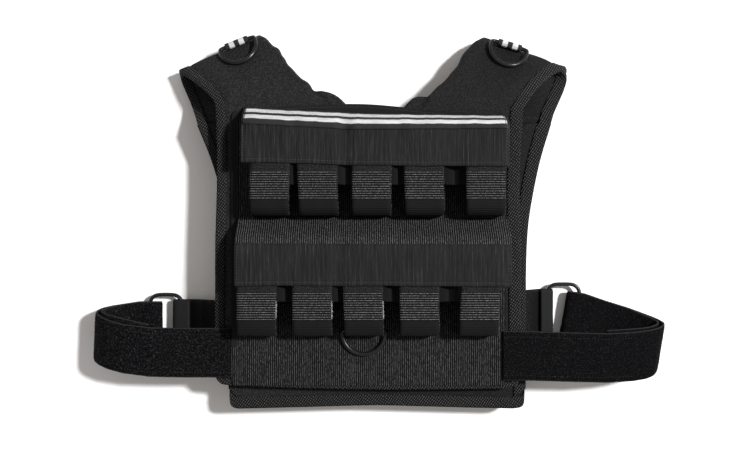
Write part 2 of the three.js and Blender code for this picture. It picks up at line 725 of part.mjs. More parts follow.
function clothFaces(surface, thickness, lift) {
  return (i, j) => {
    const normal = surface.normal(i, j);
    const middle = surface.place(i, j).addScaledVector(normal, lift);
    return [
      middle.clone().addScaledVector(normal, thickness / 2),
      middle.clone().addScaledVector(normal, -thickness / 2),
    ];
  };
}

const upperFlap = flapSurface("upper");
const lowerFlap = flapSurface("lower");
addPiece("flap_upper", sheet(upperFlap.columns, upperFlap.rows, clothFaces(upperFlap, FLAP.thickness, 0)), RIBBED);
addPiece("flap_lower", sheet(lowerFlap.columns, lowerFlap.rows, clothFaces(lowerFlap, FLAP.thickness, 0)), RIBBED);

// Striped tape sewn on the upper flap's slope.
const TAPE_LIFT = (FLAP.thickness + FLAP_TAPE_THICKNESS) / 2 + GAP;
const TAPE_FIRST_ROW = 1;
const TAPE_ROWS = 4;
const tapeFaces = clothFaces(upperFlap, FLAP_TAPE_THICKNESS, TAPE_LIFT);
addPiece(
  "flap_tape",
  sheet(upperFlap.columns, TAPE_ROWS, (i, j) => tapeFaces(i, j + TAPE_FIRST_ROW)),
  REFLECTIVE,
);

// A D-shaped loop: a straight bar, and an arc hanging from it in the direction down.
function ringLoop(bar, along, down, { half, depth }) {
  const arm = depth - half;
  const at = (a, d) => bar.clone().addScaledVector(along, a).addScaledVector(down, d);
  const points = [at(-half + RING_CORNER, 0), at(half - RING_CORNER, 0)];
  points.push(at(half - 0.3 * RING_CORNER, 0.3 * RING_CORNER), at(half, RING_CORNER));
  const steps = 12;
  for (let k = 0; k <= steps; k++) {
    const turn = (Math.PI * k) / steps;
    points.push(at(half * Math.cos(turn), arm + half * Math.sin(turn)));
  }
  points.push(at(-half, RING_CORNER), at(-half + 0.3 * RING_CORNER, 0.3 * RING_CORNER));
  return points;
}

// A ring at a shoulder: its bar over the fold, its arc resting on the pad's front slope.
const RING_TIP_LIFT = 2;
const RING_TAIL_LIFT = 1.9;
const RING_SLOPE_ROW = 6.4;
const RING_BAR_ROW = 9;
function shoulderRingPlace(side) {
  const pad = PADS[side];
  const across = SHOULDER_RING.place[side];
  const lift = GAP + RING_TAPE.thickness + RING_PLAY + SHOULDER_RING.wire / 2;
  const onPad = (row, height) => {
    const base = pad.surface(across, row);
    return base.addScaledVector(pad.normal(across, row), pad.full(row) / 2 + height);
  };
  const bar = onPad(RING_BAR_ROW, lift);
  const tip = onPad(RING_SLOPE_ROW, SHOULDER_RING.wire / 2 + RING_TIP_LIFT);
  const along = pad.surface(across + 0.05, RING_BAR_ROW).sub(pad.surface(across - 0.05, RING_BAR_ROW));
  along.normalize();
  const down = tip.clone().sub(bar);
  down.addScaledVector(along, -down.dot(along)).normalize();
  return { bar, along, down };
}

function addShoulderRing(side) {
  const { bar, along, down } = shoulderRingPlace(side);
  const loop = ringLoop(bar, along, down, SHOULDER_RING);
  const normal = along.clone().cross(down).normalize();
  addPiece(`shoulder_ring_${side}`, wireLoop(loop, normal, SHOULDER_RING.wire), BLACK_METAL);
}

// The tape that holds a shoulder ring: up from the fold, round the bar and back under it.
function addRingTape(side) {
  const { bar, along } = shoulderRingPlace(side);
  const pad = PADS[side];
  const out = pad.normal(SHOULDER_RING.place[side], RING_BAR_ROW);
  const onward = out.clone().cross(along).normalize();
  const nextRow = pad.surface(SHOULDER_RING.place[side], RING_BAR_ROW + 1);
  if (onward.dot(nextRow.sub(bar)) < 0) onward.negate();
  const radius = SHOULDER_RING.wire / 2 + RING_PLAY + RING_TAPE.thickness / 2;
  // A spot on the pad in the tape's own plane, which is square to the bar.
  const inPlane = (row, height) => {
    const armEdge = pad.surface(0, row);
    const wide = pad.surface(1, row).sub(armEdge);
    const across = bar.clone().sub(armEdge).dot(along) / wide.dot(along);
    const base = pad.surface(across, row);
    return base.addScaledVector(pad.normal(across, row), pad.full(row) / 2 + height);
  };
  const tailLift = RING_TAIL_LIFT + RING_TAPE.thickness / 2;
  const path = [inPlane(11.1, tailLift), inPlane(10.7, tailLift), inPlane(10.2, tailLift)];
  for (const degrees of [-20, 20, 60, 100, 140, 180, 220, 255]) {
    const turn = THREE.MathUtils.degToRad(degrees);
    path.push(
      bar
        .clone()
        .addScaledVector(onward, radius * Math.cos(turn))
        .addScaledVector(out, radius * Math.sin(turn)),
    );
  }
  const flat = path.map((p) => p.addScaledVector(along, bar.clone().sub(p).dot(along)));
  addPiece(`ring_tape_${side}`, strap(flat, along, RING_TAPE.width, RING_TAPE.thickness), REFLECTIVE);
}

for (const side of ["left", "right"]) {
  addShoulderRing(side);
  addRingTape(side);
}

// The chest ring: its bar inside the lower end of the middle loop, its arc lying on the carrier.
function addChestRing() {
  const { bottom, centres } = ROWS[CHEST_RING_LOOP.row];
  const radius = CHEST_RING.wire / 2;
  const rest = WEIGHT_SEAT + radius;
  const y = bottom - GAP + RING_PLAY + radius;
  const bar = point(centres[CHEST_RING_LOOP.number - 1], y, rest + 1);
  const down = point(0, -CHEST_RING.depth, -1).normalize();
  const loop = ringLoop(bar, X_AXIS.clone(), down, CHEST_RING);
  const normal = X_AXIS.clone().cross(down).normalize();
  addPiece("chest_ring", wireLoop(loop, normal, CHEST_RING.wire), BLACK_METAL);
}

addChestRing();

// An oval belt ring lying flat, long way along Y.
// near is the distance from the front's middle to its bar on the vest's side, and far to the other.
const BACK_BOTTOM = BACK_TOP - BACK_HEIGHT;
function beltRing(side) {
  const turn = side === "left" ? -1 : 1;
  const backSide = BACK_WIDTH / 2 + turn * BACK_SHIFT;
  const near = backSide + TAB.reach[side];
  const middle = near + BELT_RING.halfWidth;
  const far = middle + BELT_RING.halfWidth;
  return { turn, backSide, near, far, x: turn * middle, y: BACK_BOTTOM + RING_RISE[side] };
}

function addBeltRing(side) {
  const { x, y } = beltRing(side);
  const { wire, halfWidth, halfLength, corner, height } = BELT_RING;
  const loop = [];
  const corners = [
    { across: 1, along: 1, start: 0 },
    { across: -1, along: 1, start: 90 },
    { across: -1, along: -1, start: 180 },
    { across: 1, along: -1, start: 270 },
  ];
  for (const { across, along, start } of corners) {
    for (const degrees of [0, 22.5, 45, 67.5, 90]) {
      const turn = THREE.MathUtils.degToRad(start + degrees);
      loop.push(
        point(
          x + across * (halfWidth - corner) + corner * Math.cos(turn),
          y + along * (halfLength - corner) + corner * Math.sin(turn),
          height,
        ),
      );
    }
  }
  addPiece(`belt_ring_${side}`, wireLoop(loop, UP, wire), BLACK_METAL);
}

addBeltRing("left");
addBeltRing("right");

// Belts and tabs. A strap's middle line runs in a loop and then wraps a ring's bar. In the loop,
// reach is a share of the strap's reach, turn of the way to the ring's place along the vest, and
// level of the height from under the ring's bar to where the strap is sewn. In the wrap, inside
// is measured from the bar and over from its height, both as shares of the strap's own distance.
const BAR = BELT_RING.height;
const BELT_SIDE = BELT_RING.wire / 2 + GAP + BELT.thickness / 2;
const TAB_SIDE = BELT_RING.wire / 2 + GAP + TAB.thickness / 2;
const BELT_STARTS = {
  left: {
    out: CARRIER.width / 2 + GAP,
    level: FRONT_LEVEL + EDGE_THICKNESS / 2 + BINDING_DEPTH + GAP + BELT.thickness / 2,
  },
  right: { out: CARRIER.width / 2 - BELT.thickness, level: WEIGHT_SEAT + BELT.thickness / 2 },
};
const TAB_REST = BACK_LEVEL - EDGE_THICKNESS / 2 - BINDING_DEPTH - GAP - TAB.thickness / 2;

const BELT_LOOPS = {
  left: [
    { reach: 0, turn: 0, level: 1 },
    { reach: 0.018, turn: 0, level: 1 },
    { reach: 0.059, turn: 0, level: 1 },
    { reach: 0.143, turn: 0, level: 1.004 },
    { reach: 0.338, turn: 0, level: 1.004 },
    { reach: 0.562, turn: 0.021, level: 0.988 },
    { reach: 0.758, turn: 0.149, level: 0.926 },
    { reach: 0.87, turn: 0.298, level: 0.824 },
    { reach: 0.947, turn: 0.447, level: 0.691 },
    { reach: 0.992, turn: 0.574, level: 0.528 },
    { reach: 0.999, turn: 0.66, level: 0.374 },
    { reach: 0.971, turn: 0.745, level: 0.231 },
    { reach: 0.905, turn: 0.83, level: 0.119 },
    { reach: 0.807, turn: 0.915, level: 0.047 },
    { reach: 0.716, turn: 1, level: 0.012 },
  ],
  right: [
    { reach: 0, turn: 0, level: 1 },
    { reach: 0.012, turn: 0, level: 1 },
    { reach: 0.04, turn: 0, level: 1 },
    { reach: 0.154, turn: 0, level: 0.996 },
    { reach: 0.365, turn: -0.032, level: 0.984 },
    { reach: 0.636, turn: -0.07, level: 0.945 },
    { reach: 0.793, turn: -0.043, level: 0.875 },
    { reach: 0.889, turn: -0.003, level: 0.787 },
    { reach: 0.952, turn: 0.051, level: 0.658 },
    { reach: 0.992, turn: 0.118, level: 0.5 },
    { reach: 0.999, turn: 0.171, level: 0.362 },
    { reach: 0.977, turn: 0.251, level: 0.223 },
    { reach: 0.919, turn: 0.358, level: 0.115 },
    { reach: 0.805, turn: 0.545, level: 0.04 },
    { reach: 0.666, turn: 0.733, level: 0.01 },
  ],
};
const BELT_WRAPS = {
  left: [
    { inside: 0.921, over: -1 },
    { inside: 2.605, over: -1 },
    { inside: 3.184, over: -0.55 },
    { inside: 3.316, over: 0 },
    { inside: 3.184, over: 0.55 },
    { inside: 2.605, over: 1 },
    { inside: -0.658, over: 1 },
    { inside: -2.5, over: 0.85 },
  ],
  right: [
    { inside: -0.263, over: -1 },
    { inside: 3.632, over: -1 },
    { inside: 4.211, over: -0.55 },
    { inside: 4.342, over: 0 },
    { inside: 4.211, over: 0.55 },
    { inside: 3.632, over: 1 },
    { inside: -0.263, over: 1 },
    { inside: -3.421, over: 0.85 },
    { inside: -6.579, over: 0.65 },
  ],
};
const TAB_SLOPES = {
  left: [
    { reach: 0, level: 1 },
    { reach: 0.247, level: 1 },
    { reach: 0.349, level: 0.895 },
    { reach: 0.481, level: 0.682 },
    { reach: 0.613, level: 0.353 },
    { reach: 0.759, level: 0.094 },
    { reach: 0.905, level: 0 },
  ],
  right: [
    { reach: 0, level: 1 },
    { reach: 0.374, level: 1 },
    { reach: 0.513, level: 0.86 },
    { reach: 0.64, level: 0.529 },
    { reach: 0.756, level: 0.2 },
    { reach: 0.872, level: 0.013 },
  ],
};
const TAB_WRAPS = {
  left: [
    { inside: 1.831, over: -1 },
    { inside: 2.451, over: -0.55 },
    { inside: 2.592, over: 0 },
    { inside: 2.451, over: 0.55 },
    { inside: 1.831, over: 1 },
    { inside: -0.423, over: 1 },
    { inside: -2.394, over: 1.11 },
  ],
  right: [
    { inside: 0.845, over: -1 },
    { inside: 1.408, over: -0.55 },
    { inside: 1.549, over: 0 },
    { inside: 1.408, over: 0.55 },
    { inside: 0.845, over: 1 },
    { inside: -0.845, over: 1.06 },
    { inside: -2.113, over: 1.45 },
  ],
};
const BELT_END_WIDTHS = { left: [0.55, 0.82, 1], right: [0.8, 0.95, 1] };

function beltPath(side) {
  const { turn: sign, far, y: ringY } = beltRing(side);
  const start = BELT_STARTS[side];
  const low = BAR - BELT_SIDE;
  const sewnY = FRONT_BOTTOM + BELT.rise[side];
  const loop = BELT_LOOPS[side].map(({ reach, turn, level }) => {
    const out = start.out + reach * BELT.reach[side];
    return point(sign * out, mix(sewnY, ringY, turn), mix(low, start.level, level));
  });
  const wrap = BELT_WRAPS[side].map(({ inside, over }) => {
    return point(sign * (far - inside * BELT_SIDE), ringY, BAR + over * BELT_SIDE);
  });
  return [...loop, ...wrap];
}

function tabPath(side) {
  const { turn: sign, backSide, near, y: ringY } = beltRing(side);
  const y = ringY + TAB.rise;
  const start = backSide - TAB.seam;
  const slope = TAB_SLOPES[side].map(({ reach, level }) => {
    return point(sign * mix(start, near, reach), y, mix(BAR - TAB_SIDE, TAB_REST, level));
  });
  const wrap = TAB_WRAPS[side].map(({ inside, over }) => {
    return point(sign * (near + inside * TAB_SIDE), y, BAR + over * TAB_SIDE);
  });
  return [...slope, ...wrap];
}

for (const side of ["left", "right"]) {
  const belt = strap(beltPath(side), Y_AXIS, BELT.width, BELT.thickness, BELT_END_WIDTHS[side]);
  addPiece(`belt_${side}`, belt, FUZZY);
  const tab = strap(tabPath(side), Y_AXIS, TAB.width, TAB.thickness);
  addPiece(`belt_tab_${side}`, tab, NYLON);
}

// Stuffed pocket rows behind the back: flat where they meet it, a rounded bulge round each bar.
function addBackPocketRow(row) {
  const { bottom, centres } = ROWS[row];
  const { thickness, length, taper, dip, side } = BACK_POCKET;
  const half = WEIGHT.width / 2;
  const middle = bottom + WEIGHT.length / 2;
  const columns = [{ x: centres[0] - half - side / 2, low: dip }];
  centres.forEach((centre, index) => {
    columns.push({ x: centre - half * 0.9, low: 0 }, { x: centre + half * 0.9, low: 0 });
    const next = centres[index + 1];
    if (next !== undefined) {
      columns.push({ x: (centre + next) / 2, low: dip * Math.min(1, (next - centre - 2 * half) / side) });
    }
  });
  columns.push({ x: centres[centres.length - 1] + half + side / 2, low: dip });
  const rows = [
    { y: -length / 2, low: 1 },
    { y: -length / 2 + taper, low: 0 },
    { y: length / 2 - taper, low: 0 },
    { y: length / 2, low: 1 },
  ];
  const body = sheet(columns.length, rows.length, (i, j) => {
    const { x, low } = columns[i];
    const ground = Math.max(low, rows[j].low * dip);
    const y = middle + rows[j].y;
    return [point(x + BACK_SHIFT, y, thickness), point(x + BACK_SHIFT, y, ground)];
  });
  addPiece(`back_pocket_row_${row}`, body, NYLON);
}

addBackPocketRow("upper");
addBackPocketRow("lower");

// The vest's frame: the middle of its footprint, on the surface that it lies on.
const bounds = new THREE.Box3().setFromObject(vest);
const centre = bounds.getCenter(point(0, 0, 0));
vest.position.set(-centre.x, -centre.y, -bounds.min.z);

export default vest;
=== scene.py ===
import json
import math

import bmesh
import bpy
import numpy as np
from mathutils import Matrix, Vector
from mathutils.bvhtree import BVHTree


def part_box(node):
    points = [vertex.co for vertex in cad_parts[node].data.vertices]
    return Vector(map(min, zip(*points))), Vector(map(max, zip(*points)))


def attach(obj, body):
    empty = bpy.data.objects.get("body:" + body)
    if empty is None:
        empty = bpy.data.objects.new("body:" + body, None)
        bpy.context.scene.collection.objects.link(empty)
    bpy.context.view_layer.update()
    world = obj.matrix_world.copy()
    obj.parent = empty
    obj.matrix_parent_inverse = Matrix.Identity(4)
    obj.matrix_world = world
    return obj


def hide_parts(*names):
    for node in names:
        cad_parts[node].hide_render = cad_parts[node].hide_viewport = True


# The vest's frame: every cut piece, bar and ring at its real size, in metres.
# Left and right are as seen from above, with the shoulders away from the viewer.
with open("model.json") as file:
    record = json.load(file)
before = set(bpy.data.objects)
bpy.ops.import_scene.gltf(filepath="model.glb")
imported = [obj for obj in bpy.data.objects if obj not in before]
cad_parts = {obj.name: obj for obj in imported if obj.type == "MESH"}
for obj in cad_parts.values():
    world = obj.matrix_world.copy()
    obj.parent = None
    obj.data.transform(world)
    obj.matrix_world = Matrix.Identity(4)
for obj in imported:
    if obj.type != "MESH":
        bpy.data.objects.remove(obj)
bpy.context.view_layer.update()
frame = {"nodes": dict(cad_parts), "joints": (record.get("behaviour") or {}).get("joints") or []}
nodes = frame["nodes"]
carrier_low, carrier_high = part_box("carrier")
CARRIER_HEM_FROM_MIDDLE = 0.1345
MIDDLE = Vector(((carrier_low.x + carrier_high.x) / 2, carrier_low.y + CARRIER_HEM_FROM_MIDDLE, 0))
ORIGIN = np.array(MIDDLE)


def at(x, y, z):
    """A spot in millimetres from the middle of the front, as a point of the frame."""
    return MIDDLE + Vector((x, y, z)) / 1000


def new_piece(name, data):
    """A new object in the scene."""
    piece = bpy.data.objects.new(name, data)
    bpy.context.scene.collection.objects.link(piece)
    return piece


def mesh_piece(name, points, faces):
    """A new object from points in metres and the faces between them."""
    mesh = bpy.data.meshes.new(name)
    mesh.from_pydata(points, [], faces)
    return new_piece(name, mesh)


class Nodes:
    """A shader's node tree, with short ways to add nodes. Its noise is made in its space, in metres."""

    def __init__(self, tree, space):
        self.tree = tree
        self.space = space

    def feed(self, socket, value):
        """Links another socket to this one, or sets it to a plain value."""
        if isinstance(value, bpy.types.NodeSocket):
            self.tree.links.new(value, socket)
        elif value is not None:
            socket.default_value = value

    def calc(self, operation, a, b=None, clamp=False):
        """One Math node. a and b are sockets or plain numbers."""
        node = self.tree.nodes.new("ShaderNodeMath")
        node.operation = operation
        node.use_clamp = clamp
        self.feed(node.inputs[0], a)
        self.feed(node.inputs[1], b)
        return node.outputs[0]

    def times(self, a, b, clamp=False):
        return self.calc("MULTIPLY", a, b, clamp)

    def plus(self, a, b, clamp=False):
        return self.calc("ADD", a, b, clamp)

    def lift(self, value, power, gain):
        """A power of a value, times a gain, and 1 at most: only its peaks stay bright."""
        return self.times(self.calc("POWER", value, power), gain, clamp=True)

    def noise(self, scale, detail, stretch=None):
        """Noise of so many cells to the metre. stretch scales the space first, along each axis."""
        vector = self.space
        if stretch:
            mapping = self.tree.nodes.new("ShaderNodeMapping")
            self.feed(mapping.inputs["Scale"], stretch)
            self.feed(mapping.inputs["Vector"], vector)
            vector = mapping.outputs["Vector"]
        node = self.tree.nodes.new("ShaderNodeTexNoise")
        self.feed(node.inputs["Scale"], scale)
        self.feed(node.inputs["Detail"], detail)
        self.feed(node.inputs["Vector"], vector)
        return node.outputs["Fac"]

    def mix(self, factor, low, high):
        """A colour from low to high, as factor goes from 0 to 1."""
        node = self.tree.nodes.new("ShaderNodeMix")
        node.data_type = "RGBA"
        for label, value in (("Factor", factor), ("A", low), ("B", high)):
            self.feed(node.inputs[label], value)
        return node.outputs["Result"]

    def group(self, tree, values):
        """A node group, fed with values by the names of its inputs. Returns its outputs."""
        node = self.tree.nodes.new("ShaderNodeGroup")
        node.node_tree = tree
        for label, value in values.items():
            self.feed(node.inputs[label], value)
        return node.outputs


def new_group(name, inputs, outputs):
    """An empty shader group with named inputs (name, kind, default) and outputs (name, kind).
    Returns the group, and the sockets inside it for its inputs and its outputs."""
    group = bpy.data.node_groups.new(name, "ShaderNodeTree")
    for label, kind, default in inputs:
        socket = group.interface.new_socket(label, in_out="INPUT", socket_type=kind)
        socket.default_value = default
    for label, kind in outputs:
        group.interface.new_socket(label, in_out="OUTPUT", socket_type=kind)
    return group, group.nodes.new("NodeGroupInput").outputs, group.nodes.new("NodeGroupOutput").inputs


# Handling wear: slow changes of tone over the cloth and sparse specks of pale lint.
LINT_CELLS = 55
LINT_SIZE = 0.022
LINT_RARITY = 0.82
LINT_COLOUR = (0.35, 0.34, 0.32, 1)
wear_group, wear_in, wear_out = new_group(
    "handling_wear",
    [
        ("Vector", "NodeSocketVector", (0, 0, 0)),
        ("Dark", "NodeSocketColor", (0.01, 0.01, 0.01, 1)),
        ("Light", "NodeSocketColor", (0.03, 0.03, 0.03, 1)),
        ("Lint", "NodeSocketFloat", 1.0),
    ],
    [("Color", "NodeSocketColor"), ("Roughness", "NodeSocketFloat")],
)
wear = Nodes(wear_group, wear_in["Vector"])
wear_slow = wear.noise(14, 4)
wear_tone = wear.plus(wear.times(wear_slow, 0.6), wear.noise(900, 2))
wear_tone = wear.calc("SUBTRACT", wear_tone, 0.3, clamp=True)
wear_cells = wear_group.nodes.new("ShaderNodeTexVoronoi")
wear.feed(wear_cells.inputs["Scale"], LINT_CELLS)
wear.feed(wear_cells.inputs["Vector"], wear.space)
wear_spot = wear.calc("LESS_THAN", wear_cells.outputs["Distance"], LINT_SIZE)
wear_pick = wear_group.nodes.new("ShaderNodeSeparateColor")
wear.feed(wear_pick.inputs["Color"], wear_cells.outputs["Color"])
wear_rare = wear.calc("GREATER_THAN", wear_pick.outputs["Red"], LINT_RARITY)
wear_lint = wear.times(wear.times(wear_spot, wear_rare), wear_in["Lint"])
wear_base = wear.mix(wear_tone, wear_in["Dark"], wear_in["Light"])
wear.feed(wear_out["Color"], wear.mix(wear_lint, wear_base, LINT_COLOUR))
wear.feed(wear_out["Roughness"], wear.plus(wear.times(wear_slow, 0.2), 0.62))

# Ribs: raised cords of one pitch along a running coordinate in metres, with a little unevenness.
rib_group, rib_in, rib_out = new_group(
    "woven_ribs",
    [
        ("Along", "NodeSocketFloat", 0.0),
        ("Vector", "NodeSocketVector", (0, 0, 0)),
        ("Pitch", "NodeSocketFloat", 0.002),
        ("Drift", "NodeSocketFloat", 0.2),
    ],
    [("Height", "NodeSocketFloat")],
)
rib = Nodes(rib_group, rib_in["Vector"])
rib_drift = rib.times(rib.noise(160, 2), rib_in["Drift"])
rib_turns = rib.plus(rib.calc("DIVIDE", rib_in["Along"], rib_in["Pitch"]), rib_drift)
rib_wave = rib.calc("SINE", rib.times(rib_turns, 2 * math.pi))
rib.feed(rib_out["Height"], rib.plus(rib.times(rib_wave, 0.5), 0.5))


class Look(Nodes):
    """A material, with plain values for its shader's inputs."""

    def __init__(self, name, settings):
        self.material = bpy.data.materials.new(name)
        self.material.use_nodes = True
        tree = self.material.node_tree
        self.places = tree.nodes.new("ShaderNodeTexCoord").outputs
        self.shader = tree.nodes["Principled BSDF"].inputs
        super().__init__(tree, self.places["Object"])
        for label, value in settings.items():
            self.feed(self.shader[label], value)

    def split(self, place):
        """The x, y and z of the Object space, or u and v of the UV map."""
        node = self.tree.nodes.new("ShaderNodeSeparateXYZ")
        self.feed(node.inputs["Vector"], self.places[place])
        return tuple(node.outputs)

    def ribs(self, along, pitch, drift):
        """The height of ribs of one pitch across a running coordinate."""
        values = {"Along": along, "Vector": self.space, "Pitch": pitch, "Drift": drift}
        return self.group(rib_group, values)["Height"]

    def paint(self, colour):
        self.feed(self.shader["Base Color"], colour)

    def roughen(self, grain, share, least):
        """Roughness that grows with a grain, by a share of it, from the least."""
        self.feed(self.shader["Roughness"], self.plus(self.times(grain, share), least))

    def bump(self, height, depth):
        """Sets a height map of so many metres depth on the shader."""
        node = self.tree.nodes.new("ShaderNodeBump")
        for label, value in (("Distance", depth), ("Strength", 1), ("Height", height)):
            self.feed(node.inputs[label], value)
        self.feed(self.shader["Normal"], node.outputs["Normal"])


class Cloth(Look):
    """A cloth between two tones, with handling wear on it. worn is its worn colour."""

    def __init__(self, name, dark, light, lint=1.0, specular=0.12):
        super().__init__(name, {"Specular IOR Level": specular})
        values = {"Dark": (*dark, 1), "Light": (*light, 1), "Lint": lint, "Vector": self.space}
        outputs = self.group(wear_group, values)
        self.worn = outputs["Color"]
        self.paint(self.worn)
        self.feed(self.shader["Roughness"], outputs["Roughness"])


# Camera and light. The camera looks straight down on the vest from a little over a metre.
# One lamp stands high at the right, and a pale room fills the shadows. Places are in millimetres.
CAMERA_SPOT = (-1.3, 22, 1110)
CAMERA_LENS = 51.6
CAMERA_SENSOR = 36
LAMP_SPOT = (2300, 900, 3300)
LAMP_AIM = (0, 0, 40)
LAMP_SIZE = 0.4
LAMP_POWER = 248
ROOM_COLOUR = (1, 0.955, 0.92, 1)
ROOM_STRENGTH = 0.42
FLOOR_HALF = 2.5

camera_data = bpy.data.cameras.new("camera")
camera_data.lens = CAMERA_LENS
camera_data.sensor_width = CAMERA_SENSOR
camera = new_piece("camera", camera_data)
camera.location = at(*CAMERA_SPOT)
bpy.context.scene.camera = camera

lamp_data = bpy.data.lights.new("main_lamp", "AREA")
lamp_data.shape = "SQUARE"
lamp_data.size = LAMP_SIZE
lamp_data.energy = LAMP_POWER
lamp = new_piece("main_lamp", lamp_data)
lamp.location = at(*LAMP_SPOT)
lamp.rotation_euler = (at(*LAMP_AIM) - at(*LAMP_SPOT)).to_track_quat("-Z", "Y").to_euler()

world = bpy.data.worlds.new("pale_room")
world.use_nodes = True
room = world.node_tree.nodes["Background"].inputs
room["Color"].default_value = ROOM_COLOUR
room["Strength"].default_value = ROOM_STRENGTH
bpy.context.scene.world = world
bpy.context.scene.view_settings.view_transform = "Standard"

floor_corners = [(x * FLOOR_HALF, y * FLOOR_HALF, 0) for x, y in ((-1, -1), (1, -1), (1, 1), (-1, 1))]
floor = mesh_piece("floor", floor_corners, [(0, 1, 2, 3)])
floor_paper = Look(
    "white_paper", {"Base Color": (0.93, 0.93, 0.93, 1), "Roughness": 0.9, "Specular IOR Level": 0.1}
)
floor.data.materials.append(floor_paper.material)

# Forms that every piece uses. Lengths in them are in millimetres from the middle of the front.
SHARP_ANGLE = math.radians(38)
QUAD_FACE_ANGLE = math.radians(50)
QUAD_SHAPE_ANGLE = math.radians(80)
WELD_DISTANCE = 2e-5


def soft_skin(node, name, levels, sharpness=0.92):
    """The cloth over a piece's own solid: welded, turned to quads and subdivided smooth.
    Edges that turn sharply keep a share of their sharpness, so that outlines stay in place."""
    mesh = nodes[node].data.copy()
    mesh.name = name
    form = bmesh.new()
    form.from_mesh(mesh)
    bmesh.ops.remove_doubles(form, verts=form.verts, dist=WELD_DISTANCE)
    bmesh.ops.join_triangles(
        form, faces=form.faces, angle_face_threshold=QUAD_FACE_ANGLE, angle_shape_threshold=QUAD_SHAPE_ANGLE
    )
    crease = form.edges.layers.float.new("crease_edge")
    for edge in form.edges:
        if edge.calc_face_angle(0) > SHARP_ANGLE:
            edge[crease] = sharpness
    form.to_mesh(mesh)
    form.free()
    mesh.materials.clear()
    skin = new_piece(name, mesh)
    rounding = skin.modifiers.new("rounding", "SUBSURF")
    rounding.levels = levels
    rounding.render_levels = levels
    graph = bpy.context.evaluated_depsgraph_get()
    made = bpy.data.meshes.new_from_object(skin.evaluated_get(graph))
    skin.modifiers.clear()
    skin.data = made
    bpy.data.meshes.remove(mesh)
    shade_smooth(made)
    return skin


def shade_smooth(mesh):
    mesh.polygons.foreach_set("use_smooth", [True] * len(mesh.polygons))


def vertex_rows(piece, kind):
    """The co or normal of each vertex, as rows of an array."""
    flat = np.empty(len(piece.data.vertices) * 3)
    piece.data.vertices.foreach_get(kind, flat)
    return flat.reshape(-1, 3)


def corners_of(skin):
    """A piece's vertices in millimetres from the middle of the front."""
    return (vertex_rows(skin, "co") - ORIGIN) * 1000


def normals_of(skin):
    return vertex_rows(skin, "normal")


def set_corners(skin, corners):
    skin.data.vertices.foreach_set("co", (corners / 1000 + ORIGIN).ravel())
    skin.data.update()


def ripple(points, size, seed):
    """Smooth noise from about -1 to 1 over points in millimetres, with cells of the given size."""
    draw = np.random.default_rng(seed)
    total = np.zeros(len(points))
    for octave in (1.0, 1.9, 3.7):
        for _ in range(4):
            direction = draw.normal(size=3)
            direction /= np.linalg.norm(direction)
            phase = draw.uniform(0, 2 * math.pi)
            total += np.sin(points @ direction * (2 * math.pi * octave / size) + phase) / octave
    return total / 5


def bell(values, middle, reach):
    """A smooth hump that is 1 at the middle and 0 beyond its reach."""
    share = np.clip(np.abs(values - middle) / reach, 0, 1)
    return 0.5 + 0.5 * np.cos(math.pi * share)


def distances(line):
    """How far along a line each of its points lies."""
    hops = np.linalg.norm(np.diff(line, axis=0), axis=1)
    return np.concatenate([[0], np.cumsum(hops)])


def lay_flat(mesh, run, side):
    """Stores two running values of the cloth, such as metres along and across, as its UV map."""
    flat = mesh.uv_layers.new(name="cut_cloth")
    corner = np.empty(len(mesh.loops), int)
    mesh.loops.foreach_get("vertex_index", corner)
    flat.data.foreach_set("uv", np.stack([run[corner], side[corner]], axis=1).ravel())


def closed_cloth(name, top, low, faces, run, side):
    """A smooth closed piece of cloth from its two faces' points, which share their running values."""
    cloth = mesh_piece(name, (np.concatenate([top, low]) / 1000 + ORIGIN).tolist(), faces)
    form = bmesh.new()
    form.from_mesh(cloth.data)
    bmesh.ops.recalc_face_normals(form, faces=form.faces)
    form.to_mesh(cloth.data)
    form.free()
    lay_flat(cloth.data, np.concatenate([run, run]), np.concatenate([side, side]))
    shade_smooth(cloth.data)
    return cloth


def slivers(name, first, second, third):
    """Many thin triangles, from their corners in metres."""
    count = len(first)
    order = np.arange(count)
    faces = np.stack([order, order + count, order + 2 * count], axis=1)
    return mesh_piece(name, np.concatenate([first, second, third]).tolist(), faces.tolist())


def finish_piece(piece, look, body, slot, *stands_for):
    piece.data.materials.append(look.material)
    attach(piece, body)
    if stands_for:
        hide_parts(*stands_for)


# The padded front and back: foam between two layers of smooth black cloth, quilted flat at the
# seams. The cloth has a fine grain and pulls into small puckers beside the edge tape. Its colour
# is painted paler towards the left, as painted light.
neoprene = Cloth("black_neoprene", (0.012, 0.0122, 0.013), (0.026, 0.0263, 0.028), lint=0.5)
neoprene.bump(neoprene.noise(1100, 2), 0.0004)
neoprene_grain = neoprene.calc("SUBTRACT", neoprene.noise(640, 1), 0.42)
neoprene_grain = neoprene.times(neoprene_grain, 2.5, clamp=True)
neoprene_colour = neoprene.mix(neoprene_grain, (0.0045, 0.0047, 0.005, 1), neoprene.worn)
# Painted light: the colour is scaled up towards the left and down towards the right.
neoprene_painted_light = neoprene.plus(neoprene.times(neoprene.split("Object")[0], -3.2), 0.5, clamp=True)
neoprene_gain = neoprene.plus(neoprene.times(neoprene_painted_light, 0.95), 0.72)
neoprene_tone = neoprene.tree.nodes.new("ShaderNodeVectorMath")
neoprene_tone.operation = "SCALE"
neoprene.feed(neoprene_tone.inputs["Vector"], neoprene_colour)
neoprene.feed(neoprene_tone.inputs["Scale"], neoprene_gain)
neoprene.paint(neoprene_tone.outputs["Vector"])

